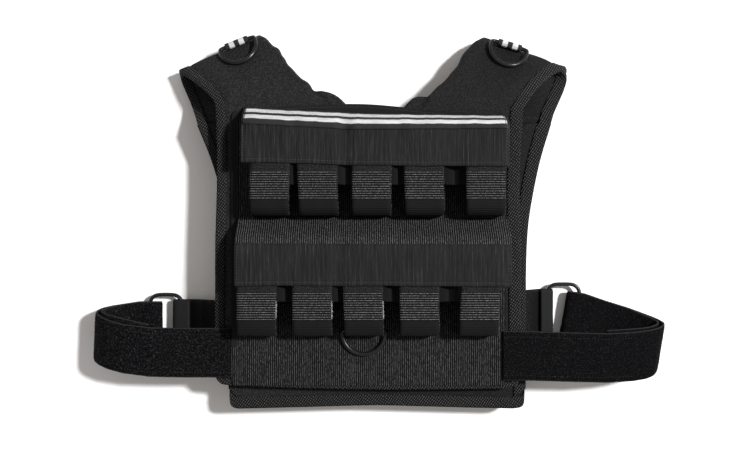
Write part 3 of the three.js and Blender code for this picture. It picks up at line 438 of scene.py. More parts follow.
# Puckers beside the edge tape: their place, how far they reach across, and how wide and deep.
FRONT_PUCKERS = [
    {"x": 141, "y": 118, "reach": 15, "width": 4, "depth": 1.5},
    {"x": 140, "y": 108, "reach": 17, "width": 4, "depth": 1.8},
    {"x": 141, "y": 97, "reach": 14, "width": 4, "depth": 1.4},
    {"x": -147, "y": 60, "reach": 12, "width": 5, "depth": 0.9},
    {"x": -146, "y": -20, "reach": 12, "width": 7, "depth": 0.8},
]
BACK_PUCKERS = [
    {"x": -176, "y": 112, "reach": 17, "width": 4.5, "depth": 2.6},
    {"x": -171, "y": 99, "reach": 19, "width": 4.5, "depth": 2.8},
    {"x": -166, "y": 87, "reach": 17, "width": 4, "depth": 2.2},
    {"x": -162, "y": 74, "reach": 14, "width": 4, "depth": 1.6},
    {"x": 180, "y": 118, "reach": 15, "width": 4, "depth": 2},
    {"x": 176, "y": 106, "reach": 16, "width": 4, "depth": 2.2},
    {"x": 172, "y": 92, "reach": 14, "width": 4, "depth": 1.6},
]
PUCKER_SLANT = 0.25


def pull_puckers(corners, facing, puckers):
    """Presses short valleys across the edge into the upper face."""
    depth = np.zeros(len(corners))
    for pucker in puckers:
        from_edge = corners[:, 0] - pucker["x"]
        middle = pucker["y"] + PUCKER_SLANT * from_edge
        along = bell(corners[:, 1], middle, pucker["width"])
        depth += pucker["depth"] * bell(from_edge, 0, pucker["reach"]) * along
    corners[:, 2] -= depth * np.clip(facing[:, 2], 0, 1)


def padded_panel(node, name, puckers, seed):
    panel = soft_skin(node, name, 3)
    corners = corners_of(panel)
    facing = normals_of(panel)
    corners[:, 2] += 0.35 * ripple(corners, 60, seed) * np.sign(facing[:, 2])
    pull_puckers(corners, facing, puckers)
    set_corners(panel, corners)
    finish_piece(panel, neoprene, "vest", "neoprene", node)
    return panel


padded_panel("front_panel", "front_padding", FRONT_PUCKERS, 3)
back = padded_panel("back_panel", "back_padding", BACK_PUCKERS, 4)

# The shoulder pads: one thick foam strap at each side, sewn to the front and the back and folded
# over at the shoulder. Their neck edge is turned in, with a crease where the strap meets the front.
PAD_CREASES = {
    "left": [
        {"from": (-56, 163), "to": (-40, 149), "width": 3.5, "depth": 2.2},
        {"from": (-34, 159), "to": (-30, 149), "width": 4, "depth": 0.7},
        {"from": (-136, 146), "to": (-122, 152), "width": 5, "depth": 0.8},
    ],
    "right": [
        {"from": (59, 155), "to": (44, 144), "width": 3.5, "depth": 2.4},
        {"from": (52, 157), "to": (40, 147), "width": 3, "depth": 1.2},
        {"from": (140, 147), "to": (126, 151), "width": 5, "depth": 0.8},
    ],
}
# Where the turned neck edge bulges or is drawn in: place, shift and reach in millimetres.
NECK_WAVES = {
    "left": [
        {"x": -93.4, "y": 205.5, "shift": (1.5, 1.5), "reach": 9},
        {"x": -82, "y": 190, "shift": (-0.8, -0.6), "reach": 8},
        {"x": -62.8, "y": 168.5, "shift": (0.9, 1.1), "reach": 9},
        {"x": -53.6, "y": 162.5, "shift": (-1.0, -1.8), "reach": 7},
    ],
    "right": [
        {"x": 98.5, "y": 198, "shift": (-1.1, 0.6), "reach": 14},
        {"x": 86, "y": 179.6, "shift": (-1.1, 0.8), "reach": 17},
        {"x": 72, "y": 166, "shift": (-0.9, 0.9), "reach": 14},
    ],
}
# Where the pads and the back panel meet inside the armholes they are drawn over each other.
ARMHOLE_SEAMS = {"left": (-163, 131), "right": (170, 131)}
ARMHOLE_OVERLAP = 2.4
ARMHOLE_REACH = 22
ARMHOLE_BELOW = 40


def close_armhole(corners, side, direction):
    """Draws the points near an armhole seam, on the lower layer, across the seam."""
    x, y = ARMHOLE_SEAMS[side]
    near = bell(corners[:, 0], x, ARMHOLE_REACH * 1.5) * bell(corners[:, 1], y, ARMHOLE_REACH)
    corners[:, 1] += direction * ARMHOLE_OVERLAP * near * (corners[:, 2] < ARMHOLE_BELOW)


def press_crease(corners, facing, crease):
    start = np.array(crease["from"], float)
    run = np.array(crease["to"], float) - start
    offset = corners[:, :2] - start
    share = np.clip(offset @ run / (run @ run), 0, 1)
    away = np.linalg.norm(offset - share[:, None] * run, axis=1)
    depth = crease["depth"] * bell(away, 0, crease["width"]) * (1 - 0.6 * share)
    corners[:, 2] -= depth * np.clip(facing[:, 2], 0, 1)


# Where the pads are sewn to the front: points along the seam, and how far they lap over it.
FRONT_SEAMS = {"left": ((-148, -57, -22), (141.5, 149, 150)), "right": ((22, 60, 140), (146, 144.5, 139))}
FRONT_LAP = 2.4
FRONT_LAP_FROM = 2
FRONT_LAP_REACH = 9
FRONT_LAP_ABOVE = 41

back_corners = corners_of(back)
for side in ARMHOLE_SEAMS:
    close_armhole(back_corners, side, 1)
set_corners(back, back_corners)

for side in ARMHOLE_SEAMS:
    pad = soft_skin(f"shoulder_pad_{side}", f"shoulder_padding_{side}", 3)
    corners = corners_of(pad)
    facing = normals_of(pad)
    corners += facing * (0.5 * ripple(corners, 48, 11))[:, None]
    for crease in PAD_CREASES[side]:
        press_crease(corners, facing, crease)
    for wave in NECK_WAVES[side]:
        away = np.hypot(corners[:, 0] - wave["x"], corners[:, 1] - wave["y"])
        corners[:, :2] += bell(away, 0, wave["reach"])[:, None] * np.array(wave["shift"])
    close_armhole(corners, side, -1)
    above_seam = corners[:, 1] - np.interp(corners[:, 0], *FRONT_SEAMS[side])
    past = (above_seam - FRONT_LAP_FROM) / FRONT_LAP_REACH
    lap = 0.5 + 0.5 * np.cos(math.pi * np.clip(past, 0, 1))
    corners[:, 1] -= FRONT_LAP * lap * (corners[:, 2] > FRONT_LAP_ABOVE)
    set_corners(pad, corners)
    finish_piece(pad, neoprene, "vest", "neoprene", f"shoulder_pad_{side}")

# The edge tape: a twill strip folded over the raw edges and sewn through. Its diagonal ribs
# are painted lighter on their crests, a painted highlight, and it rounds over the edge of the foam.
twill = Cloth("black_twill_tape", (0.05, 0.05, 0.051), (0.12, 0.12, 0.123), lint=0.6, specular=0.08)
TWILL_PITCH = 0.0021
TWILL_WEFT_PITCH = 0.0027
twill_x, twill_y, _ = twill.split("Object")
twill_run = twill.calc("SUBTRACT", twill.times(twill_x, 0.8), twill.times(twill_y, 0.55))
twill_cross = twill.plus(twill.times(twill_x, 0.6), twill.times(twill_y, 0.85))
twill_weft = twill.ribs(twill_cross, TWILL_WEFT_PITCH, 1.2)
twill_broken = twill.plus(twill.times(twill_weft, 0.65), 0.35)
twill_relief = twill.times(twill.ribs(twill_run, TWILL_PITCH, 0.5), twill_broken)
twill.bump(twill_relief, 0.0011)
# Painted highlight: the rib crests are painted in the worn cloth colour, the valleys near black.
twill_lit = twill.calc("POWER", twill_relief, 2.2)
twill_lit = twill.times(twill_lit, twill.times(twill.noise(800, 1), 2.4), clamp=True)
twill.paint(twill.mix(twill_lit, (0.004, 0.004, 0.0042, 1), twill.worn))

for end in ("front", "back"):
    for side in ("left", "right", "bottom"):
        node = f"binding_{end}_{side}"
        tape = soft_skin(node, f"edge_tape_{end}_{side}", 2)
        corners = corners_of(tape)
        facing = normals_of(tape)
        corners += facing * (0.14 * ripple(corners, 9, 21))[:, None]
        set_corners(tape, corners)
        finish_piece(tape, twill, "vest", "twill_tape", node)

# The carrier: a coarse ribbed cloth on the front that the bar pockets are sewn to. Its curved top
# is hemmed with a smooth strip. Down its left side to the lower bars a shadow is painted: there the
# ribs are left out and the cloth is near black.
ribbed = Cloth("black_ribbed_cloth", (0.035, 0.035, 0.0352), (0.11, 0.11, 0.111), lint=0.8, specular=0.08)
CARRIER_PITCH = 0.0021
ribbed_cords = ribbed.ribs(ribbed.split("Object")[0], CARRIER_PITCH, 0.5)
ribbed_cords = ribbed.times(ribbed_cords, ribbed.noise(900, 2, (1, 0.45, 1)))
# Where the hem and the painted shadow strip lie, the ribs are left out and the cloth is near black.
ribbed_cords_show = ribbed.calc("LESS_THAN", ribbed.split("UV")[1], 0.5)
ribbed_relief = ribbed.times(ribbed_cords, ribbed_cords_show)
ribbed.bump(ribbed_relief, 0.0012)
ribbed_base_and_painted_shadow = ribbed.mix(ribbed_cords_show, (0.0085, 0.0085, 0.009, 1), (0.0025, 0.0025, 0.0026, 1))
# Painted highlight: the rib crests are painted in the worn cloth colour.
ribbed.paint(ribbed.mix(ribbed.lift(ribbed_relief, 3, 5), ribbed_base_and_painted_shadow, ribbed.worn))

CARRIER_HEM = 6.5
CARRIER_SHADOW_EDGE = -131
CARRIER_SHADOW_END = -93
carrier_cloth = soft_skin("carrier", "carrier_cloth", 5, 0.95)
corners = corners_of(carrier_cloth)
top_at = {}
for x, y, _ in corners:
    top_at[round(x)] = max(top_at.get(round(x), -math.inf), y)
from_top = np.array([top_at[round(x)] - y for x, y, _ in corners])
# Painted shadow: a strip down the left side, from the top to the lower bars, is painted like the hem.
painted_shadow_strip = (corners[:, 0] < CARRIER_SHADOW_EDGE) & (corners[:, 1] > CARRIER_SHADOW_END)
hem_and_painted_shadow = (from_top < CARRIER_HEM) | painted_shadow_strip
corners[:, 2] += 0.15 * ripple(corners, 40, 31)
set_corners(carrier_cloth, corners)
lay_flat(carrier_cloth.data, corners[:, 0] / 1000, hem_and_painted_shadow.astype(float))
finish_piece(carrier_cloth, ribbed, "vest", "ribbed_cloth", "carrier")

# The iron bars: ten on the front, each a plain cast bar with rounded ends and a dull black coat.
iron = Look("black_iron", {"Metallic": 0.5})
iron_grain = iron.noise(400, 4)
iron.paint(iron.mix(iron_grain, (0.006, 0.006, 0.006, 1), (0.022, 0.022, 0.023, 1)))
iron.roughen(iron_grain, 0.3, 0.4)
iron.bump(iron_grain, 0.0003)

BAR_CENTRES = {"upper": [], "lower": []}
for row, centres in BAR_CENTRES.items():
    for number in range(1, 6):
        bar = nodes[f"weight_{row}_{number}"]
        bar.data.materials.clear()
        bar.data.materials.append(iron.material)
        bar_low, bar_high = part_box(f"weight_{row}_{number}")
        centres.append(((bar_low.x + bar_high.x) / 2 - MIDDLE.x) * 1000)

# The pocket bands: smooth nylon strips that run over the bars of each row, under the loops, and
# dip a little between them.
nylon = Cloth("black_nylon", (0.0025, 0.0025, 0.0027), (0.0085, 0.0085, 0.009), lint=0.4, specular=0.08)
nylon.bump(nylon.noise(1400, 2), 0.0002)

for row in BAR_CENTRES:
    band = soft_skin(f"pocket_band_{row}", f"pocket_strip_{row}", 3)
    finish_piece(band, nylon, "vest", "nylon", f"pocket_band_{row}")


# Straps: how closely their points lie and how far their turns are eased, in millimetres, and how
# much thinner they are along their edges and at their ends.
ROWS_TO_A_RIB = 5
ROW_SPACING = 1.5
FEWEST_ROWS = 8
TURN_EASING = 3
STRAP_RIPPLE_SIZE = 26
EDGE_FROM = 0.86
EDGE_THINNING = 0.55
END_THICKNESS = 0.6


def ribbon(name, path, across, width, thickness, steps, rib=None, wobble=0.0, seed=0, leans=None):
    """A strap along a path in millimetres. across is its width direction, steps its columns.
    rib is (pitch, depth) of real crosswise ribs. The UV map holds metres along and across."""
    path = np.array(path, float)
    along = distances(path)
    spacing = rib[0] / ROWS_TO_A_RIB if rib else ROW_SPACING
    count = max(int(along[-1] / spacing), FEWEST_ROWS)
    marks = np.linspace(0, along[-1], count)
    line = np.stack([np.interp(marks, along, path[:, k]) for k in range(3)], axis=1)
    for _ in range(int(TURN_EASING / spacing) + 1):
        line[1:-1] = (line[:-2] + 2 * line[1:-1] + line[2:]) / 4
    across = np.tile(np.array(across, float), (count, 1))
    if leans is not None:
        across[:, 0] += np.interp(marks, along, leans)
        across /= np.linalg.norm(across, axis=1)[:, None]
    forward = np.gradient(line, axis=0)
    outward = np.cross(forward, across)
    outward /= np.linalg.norm(outward, axis=1)[:, None]
    share = np.linspace(-1, 1, steps)
    rim = np.clip((np.abs(share) - EDGE_FROM) / (1 - EDGE_FROM), 0, 1)
    edge = 1 - EDGE_THINNING * rim**2
    spots = line[:, None, :] + across[:, None, :] * (share * width / 2)[None, :, None]
    spots = spots.reshape(-1, 3)
    drift = ripple(spots, STRAP_RIPPLE_SIZE, seed) * wobble
    swell = np.zeros(len(spots))
    if rib:
        swell = rib[1] * np.sin(np.repeat(marks, steps) * 2 * math.pi / rib[0] + 0.6 * drift)
    normals = np.repeat(outward, steps, axis=0)
    half = thickness / 2 * np.tile(edge, count)
    half[:steps] *= END_THICKNESS
    half[-steps:] *= END_THICKNESS
    top = spots + normals * (half + swell + drift)[:, None]
    low = spots - normals * (half + 0.4 * swell - drift)[:, None]
    size = count * steps
    faces = []
    for i in range(count - 1):
        for j in range(steps - 1):
            a = i * steps + j
            faces.append((a, a + 1, a + steps + 1, a + steps))
            faces.append((size + a, size + a + steps, size + a + steps + 1, size + a + 1))
        for a, b in ((i * steps, (i + 1) * steps), ((i + 2) * steps - 1, (i + 1) * steps - 1)):
            faces.append((a, b, size + b, size + a))
    for j in range(steps - 1):
        a = (count - 1) * steps + j
        faces.append((j + 1, j, size + j, size + j + 1))
        faces.append((a, a + 1, size + a + 1, size + a))
    run = np.repeat(marks, steps) / 1000
    side = np.tile(share * width / 2, count) / 1000
    return closed_cloth(name, top, low, faces, run, side), along[-1] / 1000


# The loops: stout ribbed webbing, sewn to the carrier below each bar, that runs up round the
# bar's lower end and under the flap, where a fuzzy patch is sewn across it. Their rib crests are
# painted lighter, a painted highlight, and where they round the bar's lower end they are painted
# dark, a painted shade.
webbing = Cloth("black_ribbed_webbing", (0.07, 0.07, 0.071), (0.18, 0.18, 0.183), lint=0.3, specular=0.08)
LOOP_PITCH = 0.0023
LOOP_PATCH_END = 0.0226
LOOP_SHADE_FROM = 0.0505
webbing_run = webbing.split("UV")[0]
webbing_patch = webbing.calc("LESS_THAN", webbing_run, LOOP_PATCH_END)
webbing_fuzz = webbing.calc("POWER", webbing.noise(900, 3), 4)
webbing_slub = webbing.noise(1000, 2, (1, 0.6, 0.6))
# Painted highlight: the rib crests are painted in the worn cloth colour, the valleys near black.
webbing_lit = webbing.lift(webbing.times(webbing.ribs(webbing_run, LOOP_PITCH, 0), webbing_slub), 2.6, 6)
# Painted shade: the lower end of each loop, where it rounds the bar, is painted dark with no ribs in its
# colour.
webbing_painted_shade = webbing.calc("GREATER_THAN", webbing_run, LOOP_SHADE_FROM)
webbing_lit = webbing.mix(webbing_painted_shade, webbing_lit, (0.03, 0.03, 0.03, 1))
webbing_cords = webbing.mix(webbing_lit, (0.0025, 0.0025, 0.0026, 1), webbing.worn)
webbing_tuft = webbing.mix(webbing_fuzz, (0.002, 0.002, 0.002, 1), (0.14, 0.14, 0.143, 1))
webbing.paint(webbing.mix(webbing_patch, webbing_cords, webbing_tuft))
webbing.bump(webbing.mix(webbing_patch, webbing_lit, webbing_fuzz), 0.0012)

LOOP_WIDTH = 38
LOOP_COLUMNS = 15
LOOP_THICKNESS = 1.8
LOOP_CORNER = 11
LOOP_LEVEL = 83.8
LOOP_FOOT = 56
LOOP_REACH = 64
# The loop that the chest ring hangs in lies close and even, so that the ring swings free.
RING_LOOP = ("lower", 2)
RING_LOOP_CORNER = 12.5
BAR_BOTTOM = {"upper": 37.5, "lower": -80.9}
LOOP_LEAN = {"upper": [0.8, -2.6, 0.4, -1.6, -0.6], "lower": [0.6, -0.8, -1.8, -1.2, 2.6]}


def loop_path(centre, end, lean, corner):
    """From under the flap, over the bar, round its lower end and down to the carrier."""
    y = end - 0.3 - LOOP_THICKNESS / 2
    path = [(centre + lean, end + LOOP_REACH, LOOP_LEVEL), (centre, y + corner, LOOP_LEVEL)]
    for turn in np.linspace(0, math.pi / 2, 9)[1:]:
        drop = corner * (1 - math.cos(turn))
        path.append((centre, y + corner * (1 - math.sin(turn)), LOOP_LEVEL - drop))
    path.append((centre, y, LOOP_FOOT))
    return path


# Loose threads: how many, how long in metres, and where the glinting ones stand above a bar's end.
# The glinting ones are painted near white: a painted highlight on the loop edges that face the lamp.
THREAD_WIDTH = 0.00025
THREADS = {"count": 420, "length": 0.0012}
GLINTING_THREADS = {"count": 260, "length": 0.0016}
GLINTING_SPAN = (16, 33)
GLINTING_EDGES = (0, 1, 2)


def frayed_edge(name, strap, count, length, seed, span=None):
    """Short threads standing out of the right edge of a strap, all along or over a span of y."""
    draw = np.random.default_rng(seed)
    rows = {}
    for spot in vertex_rows(strap, "co"):
        rows.setdefault(round(float(spot[1]) * 2500), []).append(spot)
    rim = np.array([max(row, key=lambda spot: spot[0]) for row in rows.values()])
    if span:
        run = (rim[:, 1] - MIDDLE.y) * 1000
        rim = rim[(run > span[0]) & (run < span[1])]
    roots = rim[draw.integers(0, len(rim), count)]
    lean = [draw.uniform(0.2, 1, count), draw.normal(0, 0.6, count), draw.uniform(0, 1, count)]
    lean = np.stack(lean, axis=1)
    lean /= np.linalg.norm(lean, axis=1)[:, None]
    tips = roots + lean * length * draw.uniform(0.4, 1.2, (count, 1))
    return slivers(name, roots, roots + np.array((0, THREAD_WIDTH, 0)), tips)


# Painted highlight: these threads are coloured near white where light catches the loops' right edges.
glinting_thread = Look("glinting_loose_thread", {"Base Color": (0.75, 0.75, 0.76, 1), "Roughness": 0.4})
thread = Look("loose_thread", {"Roughness": 0.6})
thread.paint(thread.mix(thread.noise(700, 2), (0.02, 0.02, 0.02, 1), (0.13, 0.13, 0.13, 1)))

for row, centres in BAR_CENTRES.items():
    for index, centre in enumerate(centres):
        number = index + 1
        holds_ring = (row, index) == RING_LOOP
        corner = RING_LOOP_CORNER if holds_ring else LOOP_CORNER
        loop, reach = ribbon(
            f"webbing_loop_{row}_{number}",
            loop_path(centre, BAR_BOTTOM[row], LOOP_LEAN[row][index], corner),
            (1, 0, 0),
            LOOP_WIDTH,
            LOOP_THICKNESS * (0.66 if holds_ring else 0.8),
            LOOP_COLUMNS,
            rib=(LOOP_PITCH * 1000, 0.22),
            wobble=0.05 if holds_ring else 0.4,
            seed=40 + index,
        )
        finish_piece(loop, webbing, "vest", "webbing", f"weight_loop_{row}_{number}")
        threads = frayed_edge(f"loop_threads_{row}_{number}", loop, **THREADS, seed=140 + index)
        finish_piece(threads, thread, "vest", "webbing")
        if row == "lower" and index in GLINTING_EDGES:
            span = [BAR_BOTTOM[row] + end for end in GLINTING_SPAN]
            glinting = frayed_edge(f"glinting_threads_{number}", loop, **GLINTING_THREADS, seed=180 + index, span=span)
            finish_piece(glinting, glinting_thread, "vest", "webbing")

# The flaps: a strip of cloth sewn to the carrier above each row, a seam, and a finer ribbed panel
# that closes over the tops of the loops. They sag between the bars and are hemmed with stitches.
FLAP_THICKNESS = 1.6
BAR_LENGTH = 88
FLAP_LEVEL = 85.8
FLAP_FOOT = 56.1
FLAPS = {
    "upper": {
        "left": -124.5, "right": 137.8, "run": 12.5, "free": 84.5, "rise": (7, -2),
        "creases": (1.2, 3.6, 1.2, 1.6), "seam": (125.4, 119.6, 120.6),
    },
    "lower": {
        "left": -130.6, "right": 139.9, "run": 27.5, "free": -32.9, "rise": (0.3, -2),
        "creases": (0.9, 1.8, 0.9, 1.4), "seam": (8.6, 7.9, 7.4),
    },
}
FLAP_PROFILE = [(1, 0), (0.92, 0.06), (0.62, 0.38), (0.26, 0.8), (-0.14, 0.955), (-0.55, 1)]
FLAP_EDGE_DROOP = 2.2
FLAP_BAR_HALF = 17
FLAP_COLUMNS = 264
STRIP_ROWS = 34
PANEL_ROWS = 60
CLOTH_RIM_THICKNESS = 0.45
FLAP_MARKS = 240


def flap_rows(row, x):
    """The flap's line at each x: y and z of its profile points and of its free edge."""
    flap = FLAPS[row]
    end = BAR_BOTTOM[row] + BAR_LENGTH
    tilt = np.where(x < 0, flap["rise"][0] * x / flap["left"], flap["rise"][1] * x / flap["right"])
    centres = BAR_CENTRES[row]
    sag = np.zeros(len(x))
    for k, depth in enumerate(flap["creases"]):
        middle = (centres[k] + centres[k + 1]) / 2
        sag += depth * bell(x, middle, (centres[k + 1] - centres[k] - LOOP_WIDTH) / 2 + 5)
    for edge, bar in ((flap["left"], centres[0]), (flap["right"], centres[4])):
        past = np.abs(x - bar) - FLAP_BAR_HALF
        outside = np.clip(past / max(abs(edge - bar) - FLAP_BAR_HALF, 1), 0, 1)
        sag += FLAP_EDGE_DROOP * outside**1.5 * (np.sign(x - bar) == np.sign(edge - bar))
    rows = []
    for out, level in FLAP_PROFILE:
        y = end + flap["run"] * out + tilt * max(out, 0)
        z = FLAP_FOOT + (FLAP_LEVEL - FLAP_FOOT) * level - sag * level**2
        rows.append((y, z))
    seam = end + flap["run"] * FLAP_PROFILE[-1][0]
    for share in (0.25, 0.5, 0.75, 1):
        y = seam + (flap["free"] + tilt * 0.5 - seam) * share
        rows.append((y, FLAP_LEVEL - sag * (1 - 0.12 * share)))
    return rows


def cloth_grid(name, spots, thickness, run, side):
    """A closed sheet of cloth over a grid of points (columns, rows, 3) in millimetres."""
    columns, rows, _ = spots.shape
    half = np.full((columns, rows), thickness / 2)
    half[[0, -1], :] *= CLOTH_RIM_THICKNESS
    half[:, [0, -1]] *= CLOTH_RIM_THICKNESS
    shift = (grid_normals(spots) * half[:, :, None]).reshape(-1, 3)
    middle = spots.reshape(-1, 3)
    size = columns * rows
    cells = (np.arange(columns - 1)[:, None] * rows + np.arange(rows - 1)[None, :]).ravel()
    upper = np.stack([cells, cells + rows, cells + rows + 1, cells + 1], axis=1)
    lower = upper[:, ::-1] + size
    rim = [*range(rows), *(np.arange(1, columns) * rows + rows - 1)]
    rim += [*((columns - 1) * rows + np.arange(rows - 2, -1, -1)), *(np.arange(columns - 2, 0, -1) * rows)]
    rim = np.array(rim)
    after = np.roll(rim, -1)
    border = np.stack([rim, after, after + size, rim + size], axis=1)
    faces = np.concatenate([upper, lower, border]).tolist()
    return closed_cloth(name, middle + shift, middle - shift, faces, run.ravel(), side.ravel())


def grid_normals(spots):
    normals = np.cross(np.gradient(spots, axis=0), np.gradient(spots, axis=1))
    normals /= np.linalg.norm(normals, axis=2)[:, :, None]
    return normals * np.sign(normals[:, :, 2].mean())


def smooth_between(table, knots, mark):
    """A curve through the columns of a table, smooth at its knots."""
    low = int(min(math.floor(mark), len(knots) - 2))
    share = mark - low
    last = len(knots) - 1
    a, b, c, d = (table[:, int(np.clip(k, 0, last))] for k in (low - 1, low, low + 1, low + 2))
    return 0.5 * (
        2 * b + (c - a) * share + (2 * a - 5 * b + 4 * c - d) * share**2 + (3 * b - a - 3 * c + d) * share**3
    )


def flap_spots(row):
    """A flap's grid, with its seam on one row of points: the strip above it and the panel below."""
    flap = FLAPS[row]
    x = np.linspace(flap["left"], flap["right"], FLAP_COLUMNS)
    rows = flap_rows(row, x)
    y_table = np.stack([r[0] for r in rows], axis=1)
    z_table = np.stack([r[1] for r in rows], axis=1)
    knots = np.arange(len(rows))
    marks = np.linspace(0, len(rows) - 1, FLAP_MARKS)
    y_fine = np.stack([smooth_between(y_table, knots, mark) for mark in marks], axis=1)
    z_fine = np.stack([smooth_between(z_table, knots, mark) for mark in marks], axis=1)
    seam_y = np.interp(x, (flap["left"], -16, flap["right"]), flap["seam"])
    spots = np.zeros((FLAP_COLUMNS, STRIP_ROWS + PANEL_ROWS, 3))
    spots[:, :, 0] = x[:, None]
    for i in range(FLAP_COLUMNS):
        along = distances(np.stack([y_fine[i], z_fine[i]], axis=1))
        seam_at = np.interp(-seam_y[i], -y_fine[i], along)
        wanted = np.concatenate(
            [np.linspace(0, seam_at, STRIP_ROWS), np.linspace(seam_at, along[-1], PANEL_ROWS + 1)[1:]]
        )
        spots[i, :, 1] = np.interp(wanted, along, y_fine[i])
        spots[i, :, 2] = np.interp(wanted, along, z_fine[i])
    return spots


flap_cloth = Cloth("black_flap_cloth", (0.036, 0.036, 0.0364), (0.082, 0.082, 0.083), specular=0.08)
FLAP_STRIP_PITCH = 0.00215
FLAP_PANEL_PITCH = 0.00125
flap_run, flap_side, _ = flap_cloth.split("UV")
flap_strip = flap_cloth.calc("LESS_THAN", flap_run, 0)
flap_streak = flap_cloth.calc("POWER", flap_cloth.noise(700, 2, (1, 0.06, 0.06)), 2)
flap_fine = flap_cloth.times(flap_cloth.ribs(flap_side, FLAP_PANEL_PITCH, 0.4), flap_streak)
flap_fine = flap_cloth.lift(flap_fine, 1.5, 3.2)
flap_slub = flap_cloth.noise(900, 2, (1, 0.4, 1))
flap_coarse = flap_cloth.times(flap_cloth.ribs(flap_side, FLAP_STRIP_PITCH, 0.4), flap_slub)
flap_coarse = flap_cloth.lift(flap_coarse, 3, 7)
flap_relief = flap_cloth.mix(flap_strip, flap_fine, flap_coarse)
flap_cloth.bump(flap_relief, 0.0009)
# Painted highlight: the rib crests are painted lighter than the valleys, in the strip and the panel alike.
flap_dark = flap_cloth.mix(flap_strip, (0.0065, 0.0065, 0.0067, 1), (0.004, 0.004, 0.0042, 1))
flap_light = flap_cloth.mix(flap_strip, flap_cloth.worn, (0.1, 0.1, 0.102, 1))
flap_cloth.paint(flap_cloth.mix(flap_relief, flap_dark, flap_light))

# A stitch, in shares of its length: the six points round it, its crown and its underside.
STITCH_LENGTH = 0.0017
STITCH_PITCH = 0.0028
STITCH_RIM = ((0.5, 0), (0.12, 0.16), (-0.12, 0.16), (-0.5, 0), (-0.12, -0.16), (0.12, -0.16))
STITCH_FORM = [(x, y, 0.05 if y else 0) for x, y in STITCH_RIM] + [(0, 0, 0.22), (0, 0, -0.1)]
ABOVE_ALL = 150
stitch_thread = Look("black_stitching", {"Roughness": 0.55})
stitch_tone = stitch_thread.noise(500, 2)
stitch_thread.paint(stitch_thread.mix(stitch_tone, (0.008, 0.008, 0.008, 1), (0.075, 0.075, 0.077, 1)))


def stitch_row(name, base, points, slot, inset=0.0):
    """A row of thread stitches along a line of (x, y) in millimetres, laid on the piece below it."""
    line = np.array(points, float)
    along = distances(line)
    count = max(int(along[-1] / (STITCH_PITCH * 1000)), 2)
    tree = BVHTree.FromPolygons(
        [vertex.co for vertex in base.data.vertices], [tuple(face.vertices) for face in base.data.polygons]
    )

    def place(mark):
        return Vector((np.interp(mark, along, line[:, 0]), np.interp(mark, along, line[:, 1]), 0))

    vertices, faces = [], []
    for k in range(count):
        here = (k + 0.5) * along[-1] / count
        x, y, _ = place(here)
        spot, normal, _, _ = tree.ray_cast(at(x, y, ABOVE_ALL), Vector((0, 0, -1)))
        if spot is None:
            continue
        forward = (place(here + 1) - place(here - 1)).normalized()
        forward = (forward - normal * forward.dot(normal)).normalized()
        sideways = normal.cross(forward)
        start = len(vertices)
        for along_side, across_side, up in STITCH_FORM:
            offset = forward * along_side + sideways * across_side + normal * (up + inset)
            vertices.append(tuple(spot + offset * STITCH_LENGTH))
        for a in range(6):
            b = (a + 1) % 6
            faces.append((start + a, start + b, start + 6))
            faces.append((start + b, start + a, start + 7))
    finish_piece(mesh_piece(name, vertices, faces), stitch_thread, "vest", slot)


# How deep the flaps are drawn in at the seam and above the hem, how high they wave, and how far
# their free edge wanders, in millimetres.
SEAM_DEPTH = 0.7
HEM_AT = 0.9
HEM_DEPTH = 0.3
WAVE_HEIGHT = 0.45
WAVE_SIZE = 30
WANDER = 0.5
WANDER_SIZE = 44
flap_panels = {}
flap_grids = {}
for row in FLAPS:
    spots = flap_spots(row)
    flat = spots.reshape(-1, 3)
    strip_share = np.linspace(-1, 0, STRIP_ROWS)
    down = np.concatenate([strip_share, np.linspace(0, 1, PANEL_ROWS + 1)[1:]])
    seam = bell(down, 0.0, 0.05)
    hem = bell(down, HEM_AT, 0.035)
    spots[:, :, 2] -= SEAM_DEPTH * seam[None, :] + HEM_DEPTH * hem[None, :]
    waves = WAVE_HEIGHT * ripple(flat * np.array((1, 0.45, 1)), WAVE_SIZE, 51)
    spots[:, :, 2] += waves.reshape(spots.shape[:2]) * np.clip(down + 0.9, 0.1, 1)[None, :]
    curl = WANDER * ripple(flat * np.array((1, 0, 0)), WANDER_SIZE, 52)
    spots[:, :, 1] += curl.reshape(spots.shape[:2]) * np.clip(down, 0, 1)[None, :] ** 2
    hops = np.linalg.norm(np.diff(spots, axis=1), axis=2)
    run = np.concatenate([np.zeros((len(spots), 1)), np.cumsum(hops, axis=1)], axis=1)
    run = (run - run[:, STRIP_ROWS - 1 : STRIP_ROWS]) / 1000
    cloth = cloth_grid(f"flap_panel_{row}", spots, FLAP_THICKNESS, run, spots[:, :, 0] / 1000)
    finish_piece(cloth, flap_cloth, "vest", "ribbed_cloth", f"flap_{row}")
    flap_panels[row] = cloth
    flap_grids[row] = spots

HEM_STITCH_INSET = 3.6
CARRIER_HEM_STITCH = 2.2
HEM_ENDS = (-128, 134)
hem_line = [(x, top_at[x] - CARRIER_HEM_STITCH) for x in sorted(top_at) if HEM_ENDS[0] < x < HEM_ENDS[1]]
stitch_row("carrier_hem_stitches", carrier_cloth, hem_line, "ribbed_cloth")
for row, spots in flap_grids.items():
    edges = {
        "hem": spots[4:-4:6, -1, :2] + np.array((0, HEM_STITCH_INSET)),
        "left": spots[2, STRIP_ROWS + 2 : -3 : 3, :2],
        "right": spots[-4, STRIP_ROWS + 2 : -3 : 3, :2],
    }
    for edge, line in edges.items():
        stitch_row(f"flap_{edge}_stitches_{row}", flap_panels[row], line, "ribbed_cloth")

